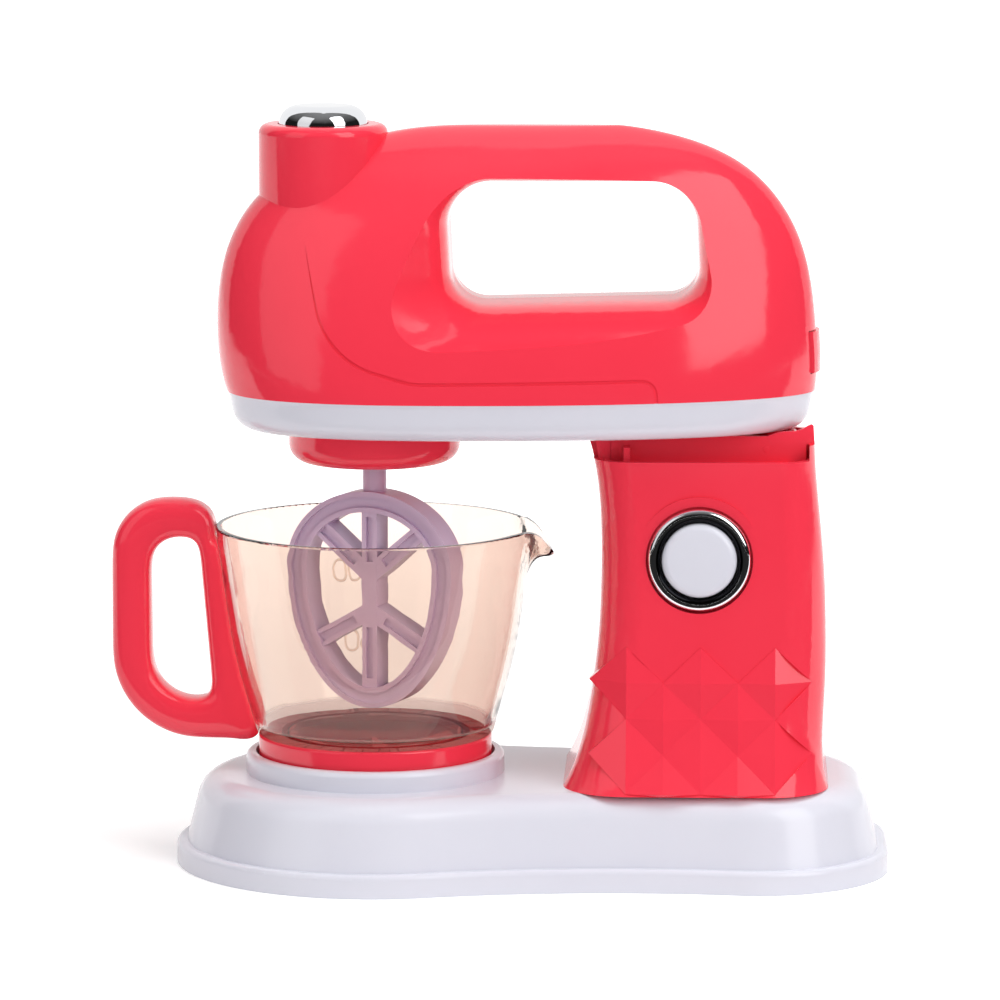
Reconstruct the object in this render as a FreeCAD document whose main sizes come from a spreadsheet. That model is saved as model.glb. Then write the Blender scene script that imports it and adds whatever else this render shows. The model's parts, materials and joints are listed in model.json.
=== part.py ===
import FreeCAD, Part
import math
import os
import Sketcher
from FreeCAD import Placement, Rotation, Vector

# Toy stand mixer: a tilting head with a beater over a bowl, on a column and a base.
# Millimetres, +X towards the column, +Y away from the viewer, +Z up.
# The origin is at the middle of the whole object's length, on the table.

doc = FreeCAD.newDocument("toy_mixer")

# Driving dimensions
SIZES = {
    "wall": 2.0,
    "gap": 0.3,
    "running": 0.05,
    # base
    "bowl_axis": -33.8,
    "lobe_radius": 53.9,
    "waist_radius": 200.0,
    "corner_radius": 36.0,
    "corner_along": 69.0,
    "corner_across": 10.0,
    "lip_height": 6.2,
    "lip_step": 2.4,
    "base_height": 24.5,
    "base_draft": 14.0,
    "base_round": 8.0,
    "seat_radius": 35.0,
    "seat_height": 30.0,
    "recess_radius": 32.4,
    "recess_floor": 26.6,
    # turntable and bowl
    "disc_radius": 31.6,
    "disc_top": 35.0,
    "bowl_foot_radius": 31.9,
    "bowl_rim_radius": 43.0,
    "bowl_rim_height": 91.6,
    "bowl_wall": 1.5,
    "bowl_floor": 2.4,
    "handle_depth": 13.0,
    # column
    "window_height": 112.0,
    "column_height": 116.0,
    "button_along": 53.8,
    "button_height": 86.2,
    "button_radius": 10.0,
    "ring_radius": 13.75,
    # head
    "tray_bottom": 118.6,
    "seam_height": 129.0,
    "pivot_along": 76.5,
    "pivot_height": 113.0,
    "collar_radius": 23.1,
    "collar_bottom": 109.1,
    "cup_along": -47.3,
    "cup_radius": 17.3,
    "cup_height": 200.0,
    "chrome_radius": 11.9,
    "chrome_top": 205.0,
    # drive
    "coarse_module": 1.0,
    "fine_module": 0.8,
    "big_teeth": 32,
    "small_teeth": 10,
    "middle_teeth": 30,
    "plate_bottom": 140.0,
    "plate_top": 143.0,
    # beater
    "beater_top": 101.0,
    "beater_bottom": 41.9,
    "beater_widest": 80.0,
    "beater_half_width": 24.3,
    "beater_depth": 8.4,
    "beater_band": 5.6,
    "beater_turn": 22.0,
    "stem_radius": 3.2,
}

sheet = doc.addObject("Spreadsheet::Sheet", "Sizes")
for row, (alias, number) in enumerate(SIZES.items(), start=1):
    sheet.set(f"A{row}", alias)
    sheet.set(f"B{row}", str(number))
    sheet.setAlias(f"B{row}", alias)
doc.recompute()


class Size(float):
    """A number that remembers the sheet formula it came from."""

    def __new__(cls, value, formula):
        size = super().__new__(cls, value)
        size.formula = formula
        return size

    def __add__(self, other):
        return Size(float(self) + float(other), f"({self.formula} + {formula(other)})")

    def __radd__(self, other):
        return Size(float(other) + float(self), f"({formula(other)} + {self.formula})")

    def __sub__(self, other):
        return Size(float(self) - float(other), f"({self.formula} - {formula(other)})")

    def __rsub__(self, other):
        return Size(float(other) - float(self), f"({formula(other)} - {self.formula})")

    def __mul__(self, other):
        return Size(float(self) * float(other), f"({self.formula} * {formula(other)})")

    __rmul__ = __mul__

    def __truediv__(self, other):
        return Size(float(self) / float(other), f"({self.formula} / {formula(other)})")

    def __neg__(self):
        return Size(-float(self), f"(-{self.formula})")


def formula(value):
    return value.formula if isinstance(value, Size) else repr(float(value))


def cell(alias):
    return Size(sheet.get(alias), f"Sizes.{alias}")


def bind(thing, name, value):
    """Set a property, and tie it to the sheet where its value comes from there."""
    if isinstance(value, Size):
        thing.setExpression(name, value.formula)
    elif name in thing.PropertiesList:
        setattr(thing, name, value)


# Helpers for bodies, sketches and features
made = {}


def new_body(label, at=(0, 0, 0), turn=None):
    body = doc.addObject("PartDesign::Body", label)
    body.Label = label
    place = Vector(*[float(value) for value in at])
    body.Placement = Placement(place, turn or Rotation())
    for axis, value in zip("xyz", at):
        bind(body, f"Placement.Base.{axis}", value)
    made[label] = body
    return body


def sketch_on(body, role, shift=0):
    sketch = body.newObject("Sketcher::SketchObject", f"{body.Name}_{role[:2]}")
    plane = [item for item in body.Origin.OriginFeatures if item.Role == role][0]
    sketch.AttachmentSupport = (plane, [""])
    sketch.MapMode = "FlatFace"
    sketch.AttachmentOffset = Placement(Vector(0, 0, float(shift)), Rotation())
    bind(sketch, "AttachmentOffset.Base.z", shift)
    return sketch


def hold(sketch, kind, *refs):
    """Add a constraint whose last argument is a size, bound to the sheet where it can be."""
    index = sketch.addConstraint(Sketcher.Constraint(kind, *refs[:-1], float(refs[-1])))
    bind(sketch, f"Constraints[{index}]", refs[-1])


def pin_point(sketch, item, place, x, y):
    hold(sketch, "DistanceX", -1, 1, item, place, x)
    hold(sketch, "DistanceY", -1, 1, item, place, y)


def outline(sketch, corners):
    """A closed outline of straight runs; a corner with a third value is rounded to that radius."""
    points = [Vector(float(c[0]), float(c[1]), 0) for c in corners]
    radii = [float(c[2]) if len(c) > 2 else 0.0 for c in corners]
    count = len(points)
    before, after, arcs = [], [], {}
    for i, point in enumerate(points):
        back = (points[i - 1] - point).normalize()
        ahead = (points[(i + 1) % count] - point).normalize()
        half = back.getAngle(ahead) / 2
        run = radii[i] / math.tan(half)
        before.append(point + back * run)
        after.append(point + ahead * run)
        if radii[i]:
            middle = (back + ahead).normalize()
            centre = point + middle * (radii[i] / math.sin(half))
            left_turn = back.cross(ahead).z < 0
            arcs[i] = (centre, left_turn)
    lines = []
    for i in range(count):
        lines.append(sketch.addGeometry(Part.LineSegment(after[i], before[(i + 1) % count]), False))
    for i, corner in enumerate(corners):
        line_in, line_out = lines[i - 1], lines[i]
        if i not in arcs:
            sketch.addConstraint(Sketcher.Constraint("Coincident", line_in, 2, line_out, 1))
            pin_point(sketch, line_out, 1, corner[0], corner[1])
            continue
        centre, left_turn = arcs[i]
        first, last = (before[i], after[i]) if left_turn else (after[i], before[i])
        start = math.atan2(first.y - centre.y, first.x - centre.x)
        end = math.atan2(last.y - centre.y, last.x - centre.x)
        if end < start:
            end += 2 * math.pi
        whole = Part.Circle(centre, Vector(0, 0, 1), radii[i])
        arc = sketch.addGeometry(Part.ArcOfCircle(whole, start, end), False)
        mark = sketch.addGeometry(Part.Point(points[i]), True)
        near, far = (1, 2) if left_turn else (2, 1)
        sketch.addConstraint(Sketcher.Constraint("Tangent", line_in, 2, arc, near))
        sketch.addConstraint(Sketcher.Constraint("Tangent", arc, far, line_out, 1))
        sketch.addConstraint(Sketcher.Constraint("PointOnObject", mark, 1, line_in))
        sketch.addConstraint(Sketcher.Constraint("PointOnObject", mark, 1, line_out))
        pin_point(sketch, mark, 1, corner[0], corner[1])
        hold(sketch, "Radius", arc, corner[2])


def circle(sketch, x, y, radius):
    centre = Vector(float(x), float(y), 0)
    item = sketch.addGeometry(Part.Circle(centre, Vector(0, 0, 1), float(radius)), False)
    pin_point(sketch, item, 3, x, y)
    hold(sketch, "Radius", item, radius)


def box_corners(x_low, x_high, y_low, y_high, radius=None):
    corners = [(x_low, y_low), (x_high, y_low), (x_high, y_high), (x_low, y_high)]
    return [corner + (radius,) for corner in corners] if radius is not None else corners


def pad(body, sketch, length, both=False, back=False, draft=None):
    feature = body.newObject("PartDesign::Pad", f"{body.Name}_pad")
    feature.Profile = sketch
    bind(feature, "Length", length)
    feature.Midplane = both
    feature.Reversed = back
    if draft is not None:
        bind(feature, "TaperAngle", draft)
    doc.recompute()
    return feature


def pocket(body, sketch, length=None, both=False, back=False):
    volume = body.Shape.Volume
    feature = body.newObject("PartDesign::Pocket", f"{body.Name}_pocket")
    feature.Profile = sketch
    if length is None:
        feature.Type = 1
    else:
        bind(feature, "Length", length)
    feature.Midplane = both
    feature.Reversed = back
    doc.recompute()
    if body.Shape.Volume >= volume - 1e-6:
        raise ValueError(f"a pocket in {body.Label} cuts nothing")
    return feature


def revolve(body, sketch):
    feature = body.newObject("PartDesign::Revolution", f"{body.Name}_revolve")
    feature.Profile = sketch
    feature.ReferenceAxis = (sketch, ["V_Axis"])
    feature.Angle = 360
    doc.recompute()
    return feature


def fillet(body, radius, test):
    """Round the edges of the body's last feature that the test picks by their box."""
    base = body.Tip
    names = []
    for index, edge in enumerate(base.Shape.Edges, start=1):
        if test(edge.BoundBox):
            names.append(f"Edge{index}")
    feature = body.newObject("PartDesign::Fillet", f"{body.Name}_fillet")
    feature.Base = (base, names)
    bind(feature, "Radius", radius)
    doc.recompute()
    return feature


def at_height(height, reach=0.01):
    return lambda box: abs(box.ZMin - float(height)) < reach and abs(box.ZMax - float(height)) < reach


def turned(label, corners, at=(0, 0, 0)):
    """A round piece, made by turning a half section about its own upright axis."""
    body = new_body(label, at)
    sketch = sketch_on(body, "XZ_Plane")
    outline(sketch, corners)
    revolve(body, sketch)
    return body


def computed(label, shape, at=(0, 0, 0), turn=None):
    """A piece whose form Part's own functions work out."""
    piece = doc.addObject("Part::Feature", label)
    piece.Label = label
    piece.Shape = shape
    piece.Placement = Placement(Vector(*[float(value) for value in at]), turn or Rotation())
    made[label] = piece
    return piece


def cylinder(radius, low, high, x=0.0, y=0.0):
    return Part.makeCylinder(float(radius), float(high) - float(low), Vector(float(x), float(y), float(low)))


def block(x_low, x_high, y_low, y_high, z_low, z_high):
    size = [float(x_high) - float(x_low), float(y_high) - float(y_low), float(z_high) - float(z_low)]
    return Part.makeBox(*size, Vector(float(x_low), float(y_low), float(z_low)))


wall = cell("wall")
gap = cell("gap")
running = cell("running")
bowl_axis = cell("bowl_axis")

# Base: a peanut-shaped tray turned over, with a lip round its foot and a seat ring for the bowl
lobe_radius = cell("lobe_radius")
corner_radius = cell("corner_radius")
corner_along = cell("corner_along")
corner_across = cell("corner_across")
waist_radius = cell("waist_radius")
base_height = cell("base_height")
lip_height = cell("lip_height")


def peanut(sketch, inset):
    """The base's plan: a round lobe, a shallow waist and a squarer lobe, all tangent arcs."""
    lobe = lobe_radius - inset
    corner = corner_radius - inset
    waist = waist_radius + inset
    lobe_centre = Vector(float(bowl_axis), 0, 0)
    corner_centre = Vector(float(corner_along), float(corner_across), 0)
    reach_one, reach_two = float(lobe + waist), float(corner + waist)
    line = corner_centre - lobe_centre
    along = (reach_one**2 - reach_two**2 + line.Length**2) / (2 * line.Length)
    up = math.sqrt(reach_one**2 - along**2)
    unit = Vector(line).normalize()
    waist_centre = lobe_centre + unit * along + Vector(-unit.y, unit.x, 0) * up

    def angle(centre, point):
        return math.atan2(point.y - centre.y, point.x - centre.x)

    def mirror(point):
        return Vector(point.x, -point.y, 0)

    def arc(centre, radius, start, end):
        full = Part.Circle(centre, Vector(0, 0, 1), float(radius))
        return sketch.addGeometry(Part.ArcOfCircle(full, start, end), False)

    lobe_angle = angle(lobe_centre, waist_centre)
    corner_angle = angle(corner_centre, waist_centre)
    end_x = float(corner_along + corner)
    left = arc(lobe_centre, lobe, lobe_angle, 2 * math.pi - lobe_angle)
    low_waist = arc(mirror(waist_centre), waist, math.pi - corner_angle, math.pi - lobe_angle)
    low_corner = arc(mirror(corner_centre), corner, 2 * math.pi - corner_angle, 2 * math.pi)
    end_line = Part.LineSegment(Vector(end_x, -corner_centre.y, 0), Vector(end_x, corner_centre.y, 0))
    end = sketch.addGeometry(end_line, False)
    high_corner = arc(corner_centre, corner, 0, corner_angle)
    high_waist = arc(waist_centre, waist, math.pi + lobe_angle, math.pi + corner_angle)
    joints = [
        (left, 2, low_waist, 2),
        (low_waist, 1, low_corner, 1),
        (low_corner, 2, end, 1),
        (end, 2, high_corner, 1),
        (high_corner, 2, high_waist, 2),
        (high_waist, 1, left, 1),
    ]
    for one, one_end, two, two_end in joints:
        sketch.addConstraint(Sketcher.Constraint("Tangent", one, one_end, two, two_end))
    pin_point(sketch, left, 3, bowl_axis, 0)
    pin_point(sketch, low_corner, 3, corner_along, -corner_across)
    pin_point(sketch, high_corner, 3, corner_along, corner_across)
    hold(sketch, "Radius", left, lobe)
    hold(sketch, "Radius", low_corner, corner)
    hold(sketch, "Radius", high_corner, corner)
    hold(sketch, "Radius", low_waist, waist)
    hold(sketch, "Radius", high_waist, waist)


COVER_BOTTOM, COVER_TOP = 2.4, 4.4
INNER_INSET, ROOF_INSET, SIDE_CEILING = 8.5, 15.0, 17.0
BASE_SCREWS = [(-70.0, 0.0), (-33.8, -36.0), (-33.8, 36.0), (85.0, -20.0), (85.0, 20.0)]
DOOR_SCREW = (3.7, 28.0)
COLUMN_SCREWS = [(27.0, -14.0), (27.0, 14.0), (82.0, -14.0), (82.0, 14.0)]

base = new_body("base_shell")
lip_sketch = sketch_on(base, "XY_Plane")
peanut(lip_sketch, 0)
pad(base, lip_sketch, lip_height)
fillet(base, 1.6, at_height(lip_height))
side_sketch = sketch_on(base, "XY_Plane", lip_height - 1.6)
peanut(side_sketch, cell("lip_step"))
pad(base, side_sketch, base_height - lip_height + 1.6, draft=-cell("base_draft"))
fillet(base, cell("base_round"), at_height(base_height))
seat = sketch_on(base, "XY_Plane", base_height - 1)
circle(seat, bowl_axis, 0, cell("seat_radius"))
pad(base, seat, cell("seat_height") - base_height + 1)
fillet(base, 1.6, at_height(cell("seat_height")))
recess = sketch_on(base, "XY_Plane", cell("seat_height"))
circle(recess, bowl_axis, 0, cell("recess_radius"))
pocket(base, recess, cell("seat_height") - cell("recess_floor"))
hollow = sketch_on(base, "XY_Plane")
peanut(hollow, INNER_INSET)
pocket(base, hollow, SIDE_CEILING, back=True)
roof = sketch_on(base, "XY_Plane", SIDE_CEILING)
peanut(roof, ROOF_INSET)
pocket(base, roof, base_height - wall - SIDE_CEILING, back=True)
posts = sketch_on(base, "XY_Plane", COVER_TOP)
for x, y in BASE_SCREWS + [DOOR_SCREW]:
    circle(posts, x, y, 2.8)
pad(base, posts, base_height - wall - COVER_TOP + 0.5)
pilot = sketch_on(base, "XY_Plane", COVER_TOP)
for x, y in BASE_SCREWS + [DOOR_SCREW]:
    circle(pilot, x, y, 1.1)
pocket(base, pilot, 11, back=True)
top_holes = sketch_on(base, "XY_Plane")
circle(top_holes, bowl_axis, 0, 4 + running)
circle(top_holes, cell("button_along"), 0, 6)
for x, y in COLUMN_SCREWS:
    circle(top_holes, x, y, 1.7)
pocket(base, top_holes, back=True)

cover = new_body("base_cover")
cover_sketch = sketch_on(cover, "XY_Plane", COVER_BOTTOM)
peanut(cover_sketch, INNER_INSET + 0.2)
pad(cover, cover_sketch, COVER_TOP - COVER_BOTTOM)
DOOR = (-15.0, 23.0, -31.0, 31.0)
cover_cuts = sketch_on(cover, "XY_Plane")
outline(cover_cuts, box_corners(*DOOR, 2.0))
for x, y in BASE_SCREWS:
    circle(cover_cuts, x, y, 1.7)
pocket(cover, cover_cuts, back=True)

door = new_body("battery_door")
door_sketch = sketch_on(door, "XY_Plane", COVER_BOTTOM)
outline(door_sketch, box_corners(DOOR[0] + 0.2, DOOR[1] - 0.2, DOOR[2] + 0.2, DOOR[3] - 0.2, 1.8))
pad(door, door_sketch, COVER_TOP - COVER_BOTTOM - 0.4)
grip_lines = sketch_on(door, "XY_Plane", COVER_BOTTOM)
for step in range(5):
    low = -20.0 + 3.0 * step
    outline(grip_lines, box_corners(-2.0, 10.0, low, low + 1.4))
pocket(door, grip_lines, 0.6, back=True)
door_hole = sketch_on(door, "XY_Plane")
circle(door_hole, *DOOR_SCREW, 1.7)
pocket(door, door_hole, back=True)

CELL_RADIUS, CELL_HALF, CELL_HEIGHT = 7.1, 24.3, 11.5
cells = [Part.makeCylinder(CELL_RADIUS, 2 * CELL_HALF, Vector(x, -CELL_HALF, CELL_HEIGHT), Vector(0, 1, 0))
         for x in (-4.0, 11.4)]
nubs = [Part.makeCylinder(2.6, 1.2, Vector(-4.0, CELL_HALF, CELL_HEIGHT), Vector(0, 1, 0)),
        Part.makeCylinder(2.6, 1.2, Vector(11.4, -CELL_HALF - 1.2, CELL_HEIGHT), Vector(0, 1, 0))]
computed("batteries", Part.makeCompound([cells[0].fuse(nubs[0]), cells[1].fuse(nubs[1])]))

contact_plates = []
for side in (-1, 1):
    for x in (-4.0, 11.4):
        low = side * 26.0 - 0.3
        contact_plates.append(block(x - 5, x + 5, low, low + 0.6, 6, 22.5))
computed("battery_contacts", Part.makeCompound(contact_plates))


# Turntable: a hollow disc on a stub through the base's top, held by a washer and a screw
disc_top = cell("disc_top")
disc_radius = cell("disc_radius")
disc_low = cell("recess_floor") + gap
STUB_END, DISC_SKIN = 21.9, 3.5
SPIGOT_INNER, SPIGOT_OUTER, SPIGOT_DEPTH = 24.0, 25.4, 1.6
turned("turntable", [
    (0, STUB_END), (4, STUB_END), (4, disc_low), (6.5, disc_low), (6.5, disc_top - DISC_SKIN),
    (disc_radius - wall, disc_top - DISC_SKIN), (disc_radius - wall, disc_low), (disc_radius, disc_low),
    (disc_radius, disc_top, 0.8), (SPIGOT_OUTER + 0.4, disc_top), (SPIGOT_OUTER + 0.4, disc_top - 1.9),
    (SPIGOT_INNER - 0.4, disc_top - 1.9), (SPIGOT_INNER - 0.4, disc_top), (0, disc_top)],
       at=(bowl_axis, 0, 0))
turned("turntable_washer", [(1.6, STUB_END - 1.2), (7, STUB_END - 1.2), (7, STUB_END), (1.6, STUB_END)],
       at=(bowl_axis, 0, 0))
turned("turntable_screw", [(0, STUB_END - 3.2), (2.9, STUB_END - 3.2, 0.6), (2.9, STUB_END - 1.2),
                           (1.5, STUB_END - 1.2), (1.5, STUB_END), (0, STUB_END)], at=(bowl_axis, 0, 0))

# Bowl: a thin flared shell with a drooping pouring lip and a spigot ring under its floor
foot_radius = cell("bowl_foot_radius")
rim_radius = cell("bowl_rim_radius")
rim_height = cell("bowl_rim_height")
bowl_wall = cell("bowl_wall")
floor_top = disc_top + bowl_wall + 0.3
BULGE_RADIUS, BULGE_HEIGHT, BULGE_ROUND = 38.4, 58.0, 140.0


def lofted(body, sections, role="XY_Plane", cut=False):
    """A smooth loft through outlines, each given with its distance from the plane."""
    sketches = []
    for shift, corners in sections:
        sketch = sketch_on(body, role, shift)
        outline(sketch, corners)
        sketches.append(sketch)
    doc.recompute()
    kind = "PartDesign::SubtractiveLoft" if cut else "PartDesign::AdditiveLoft"
    feature = body.newObject(kind, f"{body.Name}_loft")
    feature.Profile = sketches[0]
    feature.Sections = sketches[1:]
    doc.recompute()
    return feature


# Spout: distance from the axis, half width at the top, depth of its top and bottom under the rim, round radius
SPOUT_SECTIONS = [(36.0, 19.6, 0.1, 25.6, 6.0), (40.6, 15.2, 0.1, 17.0, 4.0), (42.8, 10.8, 0.4, 11.2, 2.5),
                  (45.0, 6.4, 2.3, 9.2, 1.2), (48.3, 0.7, 6.4, 8.2, 0.25)]
SPOUT_WALL = (-1.2, 0.7)


def spout_sections(shift=0.0, rise=0.0, above=0.0):
    """The spout's outlines, moved in and up for its channel, with their sides carried on above the rim."""
    sections = []
    for along, half_width, top, bottom, round_radius in SPOUT_SECTIONS:
        wider = half_width * (bottom - top + above) / (bottom - top)
        high = rim_height - top + rise + above
        sections.append((along + shift, [(wider, high), (-wider, high),
                                         (0, rim_height - bottom + rise, round_radius)]))
    return sections


bowl = new_body("bowl_shell", (bowl_axis, 0, 0))
bowl_outside = sketch_on(bowl, "XZ_Plane")
outline(bowl_outside, [(0, disc_top), (foot_radius, disc_top, 1.5), (BULGE_RADIUS, BULGE_HEIGHT, BULGE_ROUND),
                       (rim_radius, rim_height, 0.5), (0, rim_height)])
revolve(bowl, bowl_outside)
lofted(bowl, spout_sections(), role="YZ_Plane")
droop = sketch_on(bowl, "XZ_Plane")
outline(droop, [(36.0, rim_height + 0.02), (43.2, rim_height + 0.02, 7.0), (52.0, rim_height - 12.2),
                (54.0, rim_height - 12.2), (54.0, rim_height + 3), (36.0, rim_height + 3)])
pocket(bowl, droop, both=True)
bowl_inside = sketch_on(bowl, "XZ_Plane")
outline(bowl_inside, [(0, floor_top), (foot_radius - bowl_wall, floor_top, 2.2),
                      (BULGE_RADIUS - bowl_wall, BULGE_HEIGHT, BULGE_ROUND),
                      (rim_radius - bowl_wall + 0.1, rim_height + 1), (0, rim_height + 1)])
groove = bowl.newObject("PartDesign::Groove", "bowl_groove")
groove.Profile = bowl_inside
groove.ReferenceAxis = (bowl_inside, ["V_Axis"])
groove.Angle = 360
doc.recompute()
lofted(bowl, spout_sections(*SPOUT_WALL, above=3.0), role="YZ_Plane", cut=True)
spigot = sketch_on(bowl, "XY_Plane", disc_top - SPIGOT_DEPTH)
circle(spigot, 0, 0, SPIGOT_OUTER)
circle(spigot, 0, 0, SPIGOT_INNER)
pad(bowl, spigot, SPIGOT_DEPTH + 0.2)

# Bowl handle: a rounded loop, shaped to the bowl's wall where it meets it
handle = new_body("handle_blank")
handle_outline = sketch_on(handle, "XZ_Plane")
outline(handle_outline, [(-76.6, 98.9, 9), (-104.9, 98.9, 15), (-105.1, 33.0, 24), (-65.0, 33.0, 5),
                         (-62.0, 45.0), (-62.0, 84.0), (-76.6, 88.0)])
pad(handle, handle_outline, cell("handle_depth"), both=True)
handle_hole = sketch_on(handle, "XZ_Plane")
outline(handle_hole, [(-94.2, 88.4, 7.5), (-94.0, 44.0, 12), (-77.6, 44.0, 3), (-81.4, 88.4, 3)])
pocket(handle, handle_hole, both=True)
HANDLE_ROUND, HOLE_ROUND = 3.4, 1.0


def is_hole_edge(box):
    return -94.5 < box.XMin and box.XMax < -77 and box.ZMin > 43.5 and box.ZMax < 88.6


fillet(handle, HANDLE_ROUND, lambda box: box.YLength < 0.01 and not is_hole_edge(box))
fillet(handle, HOLE_ROUND, lambda box: box.YLength < 0.01 and is_hole_edge(box))
made.pop("handle_blank")
bowl_cutter = Part.makeCone(float(foot_radius) - 0.5, float(rim_radius) - 0.5,
                            float(rim_height - disc_top) + 20,
                            Vector(float(bowl_axis), 0, float(disc_top) - 1))
handle_shape = handle.Shape.cut(bowl.Shape).cut(bowl_cutter).cut(
    cylinder(disc_radius + 0.6, 20, disc_top, bowl_axis, 0))
handle_parts = sorted(handle_shape.Solids, key=lambda solid: solid.Volume)
computed("bowl_handle", handle_parts[-1])

# Column: two half shells, flared at the foot, open at the top, where the head's hinge sits
window_height = cell("window_height")
column_height = cell("column_height")
button_along = cell("button_along")
button_height = cell("button_height")
ring_radius = cell("ring_radius")
button_radius = cell("button_radius")
pivot_along = cell("pivot_along")
pivot_height = cell("pivot_height")

# Height, left end, right end, half depth and corner radius of the column's outside
COLUMN_SECTIONS = [
    (24.5, 17.6, 88.6, 37.0, 17.0),
    (34.0, 21.8, 87.0, 32.0, 14.5),
    (48.0, 24.9, 87.4, 28.6, 13.0),
    (66.0, 27.0, 87.7, 26.4, 12.0),
    (86.0, 27.6, 86.9, 24.6, 11.0),
    (104.0, 26.8, 85.2, 23.0, 10.0),
    (116.0, 24.4, 84.4, 22.3, 9.5),
]


def column_sections(inset):
    sections = []
    for height, low, high, half, corner in COLUMN_SECTIONS:
        rounded = corner - inset
        corners = box_corners(low + inset, high - inset, -half + inset, half - inset, rounded)
        sections.append((height, corners))
    return sections


def column_half(label, front):
    """One half of the column's shell, cut along the middle plane."""
    body = new_body(label)
    lofted(body, column_sections(0))
    lofted(body, column_sections(wall), cut=True)
    half = sketch_on(body, "XY_Plane", column_height + 1)
    if front:
        outline(half, box_corners(10.0, 95.0, 0, 45.0))
    else:
        outline(half, box_corners(10.0, 95.0, -45.0, 0))
    pocket(body, half)
    return body


# Front half: the button's hole with a boss behind it, and posts that carry the switch
BUTTON_SEAT, BOSS_BACK, POST_END = 22.9, 20.6, 12.0
front = column_half("column_front_plain", True)
made.pop("column_front_plain")
window = sketch_on(front, "XZ_Plane", 9.5)
outline(window, box_corners(15.0, 82.9, window_height, column_height + 5))
pocket(front, window, 30, back=True)
boss = sketch_on(front, "XZ_Plane", BOSS_BACK)
circle(boss, button_along, button_height, ring_radius + 3)
pad(front, boss, 3.2)
switch_posts = sketch_on(front, "XZ_Plane", POST_END)
for x in (-11.0, 11.0):
    for z in (-11.0, 11.0):
        circle(switch_posts, button_along + x, button_height + z, 1.8)
pad(front, switch_posts, BOSS_BACK - POST_END + 0.5)
front_bosses = sketch_on(front, "XY_Plane", base_height)
for x, y in COLUMN_SCREWS[0::2]:
    circle(front_bosses, x, y, 4.0)
    circle(front_bosses, x, y, 1.1)
pad(front, front_bosses, 14)
seat_recess = sketch_on(front, "XZ_Plane", BUTTON_SEAT)
circle(seat_recess, button_along, button_height, ring_radius + 0.5)
pocket(front, seat_recess, 6, back=True)
button_hole = sketch_on(front, "XZ_Plane", BOSS_BACK - 1)
circle(button_hole, button_along, button_height, ring_radius - 1.6)
pocket(front, button_hole, 8, back=True)

# Facets: low pyramids on a diamond lattice over the front's lower part.
# Each replaces the curved wall in front of it, so that its creases stay sharp and straight.
FACET_PITCH_X, FACET_PITCH_Z = 19.8, 18.9
FACET_TOP_CENTRE = (54.3, 53.6)
FACET_RISE, EDGE_RISE = 1.5, 0.25
outer_skin = front.Shape


def skin_depth(x, z):
    """How far forward the column's outside is at a point of its front view."""
    line = Part.makeLine(Vector(x, -60, z), Vector(x, -3, z))
    hits = outer_skin.common(line)
    return hits.BoundBox.YMin if hits.Edges else -20.0


def facet(centre_x, centre_z):
    """One pyramid: the block behind its facets, and the space in front of them."""
    half_x, half_z = FACET_PITCH_X / 2, FACET_PITCH_Z / 2
    spots = [(0, half_z), (half_x, 0), (0, -half_z), (-half_x, 0)]
    rim = []
    for dx, dz in spots:
        x, z = centre_x + dx, max(centre_z + dz, 24.6)
        near_x = min(max(x, 27.5), 84.5)
        rim.append(Vector(x, skin_depth(near_x, z) - EDGE_RISE, z))
    peak = Vector(centre_x, skin_depth(centre_x, centre_z) - FACET_RISE, centre_z)
    return rim, peak


def closed(rim, peak, level):
    """The solid between the facets and the plane at one depth."""
    flat = [Vector(point.x, level, point.z) for point in rim]
    faces = [Part.Face(Part.makePolygon(flat + [flat[0]]))]
    for one in range(4):
        two = (one + 1) % 4
        faces.append(Part.Face(Part.makePolygon([rim[one], rim[two], peak, rim[one]])))
        faces.append(Part.Face(Part.makePolygon([rim[one], rim[two], flat[two], flat[one], rim[one]])))
    solid = Part.Solid(Part.Shell(faces))
    if solid.Volume < 0:
        solid.reverse()
    return solid


# The blocks stop inside the wall's thickness, short of its inner face
BACKING = 0.8
inner_space = new_body("facet_inner_space")
lofted(inner_space, column_sections(wall - BACKING))
made.pop("facet_inner_space")
front_shape = front.Shape
blocks, spaces = [], []
FACET_ROWS = 4
for row in range(FACET_ROWS):
    columns = (-1, 0, 1) if row % 2 == 0 else (-0.5, 0.5)
    for column in columns:
        rim, peak = facet(FACET_TOP_CENTRE[0] + column * FACET_PITCH_X,
                          FACET_TOP_CENTRE[1] - row * FACET_PITCH_Z / 2)
        deepest = max(point.y for point in rim)
        blocks.append(closed(rim, peak, deepest + 2.5).cut(inner_space.Shape))
        spaces.append(closed(rim, peak, -50))
front_shape = front_shape.cut(spaces).fuse(blocks)
computed("column_front", front_shape)

# Back half: it also carries the hinge housing, whose floor, cheeks and front panel close the column's top
HOUSING_FLOOR, CHEEK_LOW, NECK_HALF, PANEL_TOP = 100.0, 66.0, 7.5, 118.1
back = column_half("column_back", False)


def housing(level, height, *boxes):
    """Raise boxes of the hinge housing from one level."""
    sketch = sketch_on(back, "XY_Plane", level)
    for box in boxes:
        outline(sketch, box_corners(*box))
    pad(back, sketch, height)


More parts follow.
